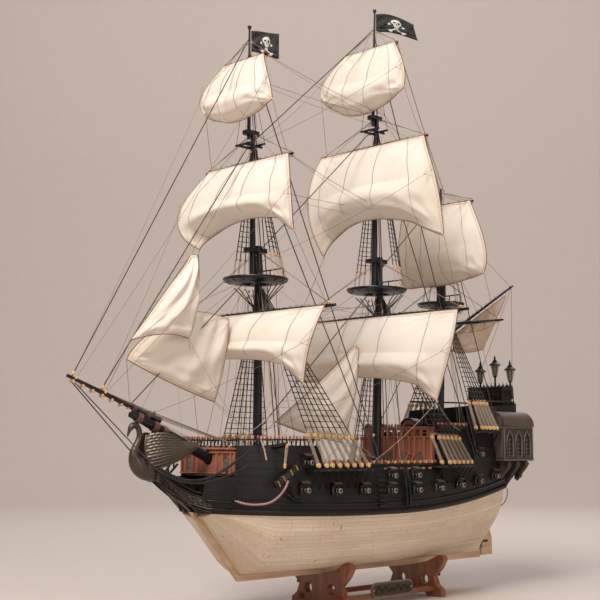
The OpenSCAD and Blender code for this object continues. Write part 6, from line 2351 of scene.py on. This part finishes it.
@dataclass
class CarriedNodes:
    """The CAD nodes that stay: each gets its finish."""

    look: Finishes

    def build(self) -> None:
        """Paints every carried node."""
        f = self.look
        groups = (
            (f.stand, "stand_cradle_fore stand_cradle_aft"),
            (f.stand_rail, "stand_rails"),
            (f.bronze, "nameplate swan_figurehead"),
            (f.gun, "cannons"),
            (f.pale, "keel hull_bulkheads rudder"),
            (f.side, "topsides wales"),
            (f.bottom, "lower_planking"),
            (f.deck, "main_deck forecastle_deck after_decks"),
            (f.black, "stern_board stern_lanterns head_knee head_rails gunport_frames channels side_steps cap_rails"),
            (f.umber, "quarter_galleries"),
            (f.spar, "lower_masts topmasts topgallant_masts mast_tops mast_caps bowsprit jib_boom lower_yards "
                     "topsail_yards topgallant_yards gaff"),
            (f.red, "beakhead_bulkhead quarterdeck_bulkhead belfry"),
            (f.box, "deadeyes"),
            (f.iron, "anchors rudder_irons gudgeons"),
            (f.tarred, "shrouds stays rudder_pendants"),
            (f.pink, "anchor_cables"),
            (f.brass, "bell"),
            (f.grating, "hatch_gratings"),
            (f.canvas, "fore_course main_course fore_topsail main_topsail mizzen_topsail fore_topgallant_sail "
                       "main_topgallant_sail outer_jib fore_staysail main_staysail spanker"),
            (f.flag, "flags"))
        for material, names in groups:
            for name in names.split():
                paint(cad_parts[name], material)
                log.info("finish of %s: %s", name, material.name)


@dataclass
class Studio:
    """Table, backdrop, lights and camera: the table, its curve and the wall are in metres."""

    EYE = (1006.48, 973.20, 176.48)
    TURN, PITCH = math.radians(135.06), math.radians(7.01)
    TABLE, CURVE, WALL_TOP = 2.6, 1.4, 4.6
    LAMPS = (("key", (1.5, 0.55, 2.1), 1.1, 64.0, (1.0, 0.965, 0.92), (0, 0, 0.3)),
             ("fill", (0.2, 2.3, 1.0), 1.8, 13.0, (1.0, 0.97, 0.94), (0, 0, 0.3)),
             ("rim", (-1.5, -0.5, 1.9), 1.2, 16.0, (0.95, 0.97, 1.0), (0, 0, 0.3)),
             ("wall", (-1.3, -1.2, 2.6), 2.4, 34.0, (1.0, 0.97, 0.94), (-3.4, -3.4, 0.6)))

    def build(self) -> None:
        """Makes the studio."""
        self.camera()
        self.floor()
        self.lights()

    def camera(self) -> None:
        """The camera, low off the port bow and pitched a little up."""
        lens = bpy.data.cameras.new("camera")
        lens.lens = 72.64
        lens.sensor_width = 36.0
        lens.clip_start = 0.05
        camera = bpy.data.objects.new("camera", lens)
        bpy.context.scene.collection.objects.link(camera)
        camera.location = vec(*self.EYE)
        turn, pitch = self.TURN, self.PITCH
        ahead = Vector((-math.sin(turn) * math.cos(pitch), math.cos(turn) * math.cos(pitch), math.sin(pitch)))
        camera.rotation_euler = ahead.to_track_quat("-Z", "Y").to_euler()
        bpy.context.scene.camera = camera

    def floor(self) -> None:
        """A wide pale table that curves up into a warm grey backdrop on every side."""
        shape = Shape("sweep")
        shape.points.append(Vector((0, 0, 0)))
        bends = [a * math.pi / 24 for a in range(1, 13)]
        wall = self.TABLE + self.CURVE
        profile = [(0.8, 0.0), (1.8, 0.0), (self.TABLE, 0.0)]
        profile += [(self.TABLE + self.CURVE * math.sin(a), self.CURVE - self.CURVE * math.cos(a)) for a in bends]
        profile += [(wall, 3.0), (wall, self.WALL_TOP)]
        sides = 72
        for far, high in profile:
            for k in range(sides):
                a = k * math.tau / sides
                shape.points.append(Vector((far * math.cos(a), far * math.sin(a), high)))
        for k in range(sides):
            shape.quad((0, 1 + k, 1 + (k + 1) % sides))
            for i in range(len(profile) - 1):
                a, b = 1 + i * sides + k, 1 + i * sides + (k + 1) % sides
                shape.quad((a, a + sides, b + sides, b))
        sweep = shape.build(60)
        paint(sweep, Plain("studio_sweep", (0.60, 0.53, 0.49), 0.8).make())

    def lights(self) -> None:
        """Soft key light high on the bow side, a fill, a rim and a wall lamp, with a dim warm world."""
        for name, at, size, power, tint, goal in self.LAMPS:
            data = bpy.data.lights.new(name, "AREA")
            data.shape = "DISK"
            data.size = size
            data.energy = power
            data.color = tint
            lamp = bpy.data.objects.new(name, data)
            bpy.context.scene.collection.objects.link(lamp)
            lamp.location = at
            lamp.rotation_euler = (Vector(goal) - Vector(at)).to_track_quat("-Z", "Y").to_euler()
        world = bpy.data.worlds.new("studio")
        world.use_nodes = True
        shade = world.node_tree.nodes["Background"]
        shade.inputs["Color"].default_value = (1.0, 0.95, 0.9, 1.0)
        shade.inputs["Strength"].default_value = 0.27
        bpy.context.scene.world = world
        bpy.context.scene.view_settings.view_transform = "Standard"


def record_size() -> None:
    """Updates the view layer."""
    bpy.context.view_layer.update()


def main() -> None:
    """Builds the ship in order."""
    logging.basicConfig(level=logging.INFO, format="%(name)s %(message)s")
    look = Finishes()
    Studio().build()
    FreeCords(look).build()
    CarriedNodes(look).build()
    Planking(look).build()
    locker = SailLocker(look)
    locker.build()
    Rigging(look, locker.clews).build()
    Gunnery(look).build()
    Head(look).build()
    Anchors(look).build()
    Stern(look).build()
    DeckWork(look).build()
    StandWork(look).build()
    record_size()


if __name__ == "__main__":
    main()
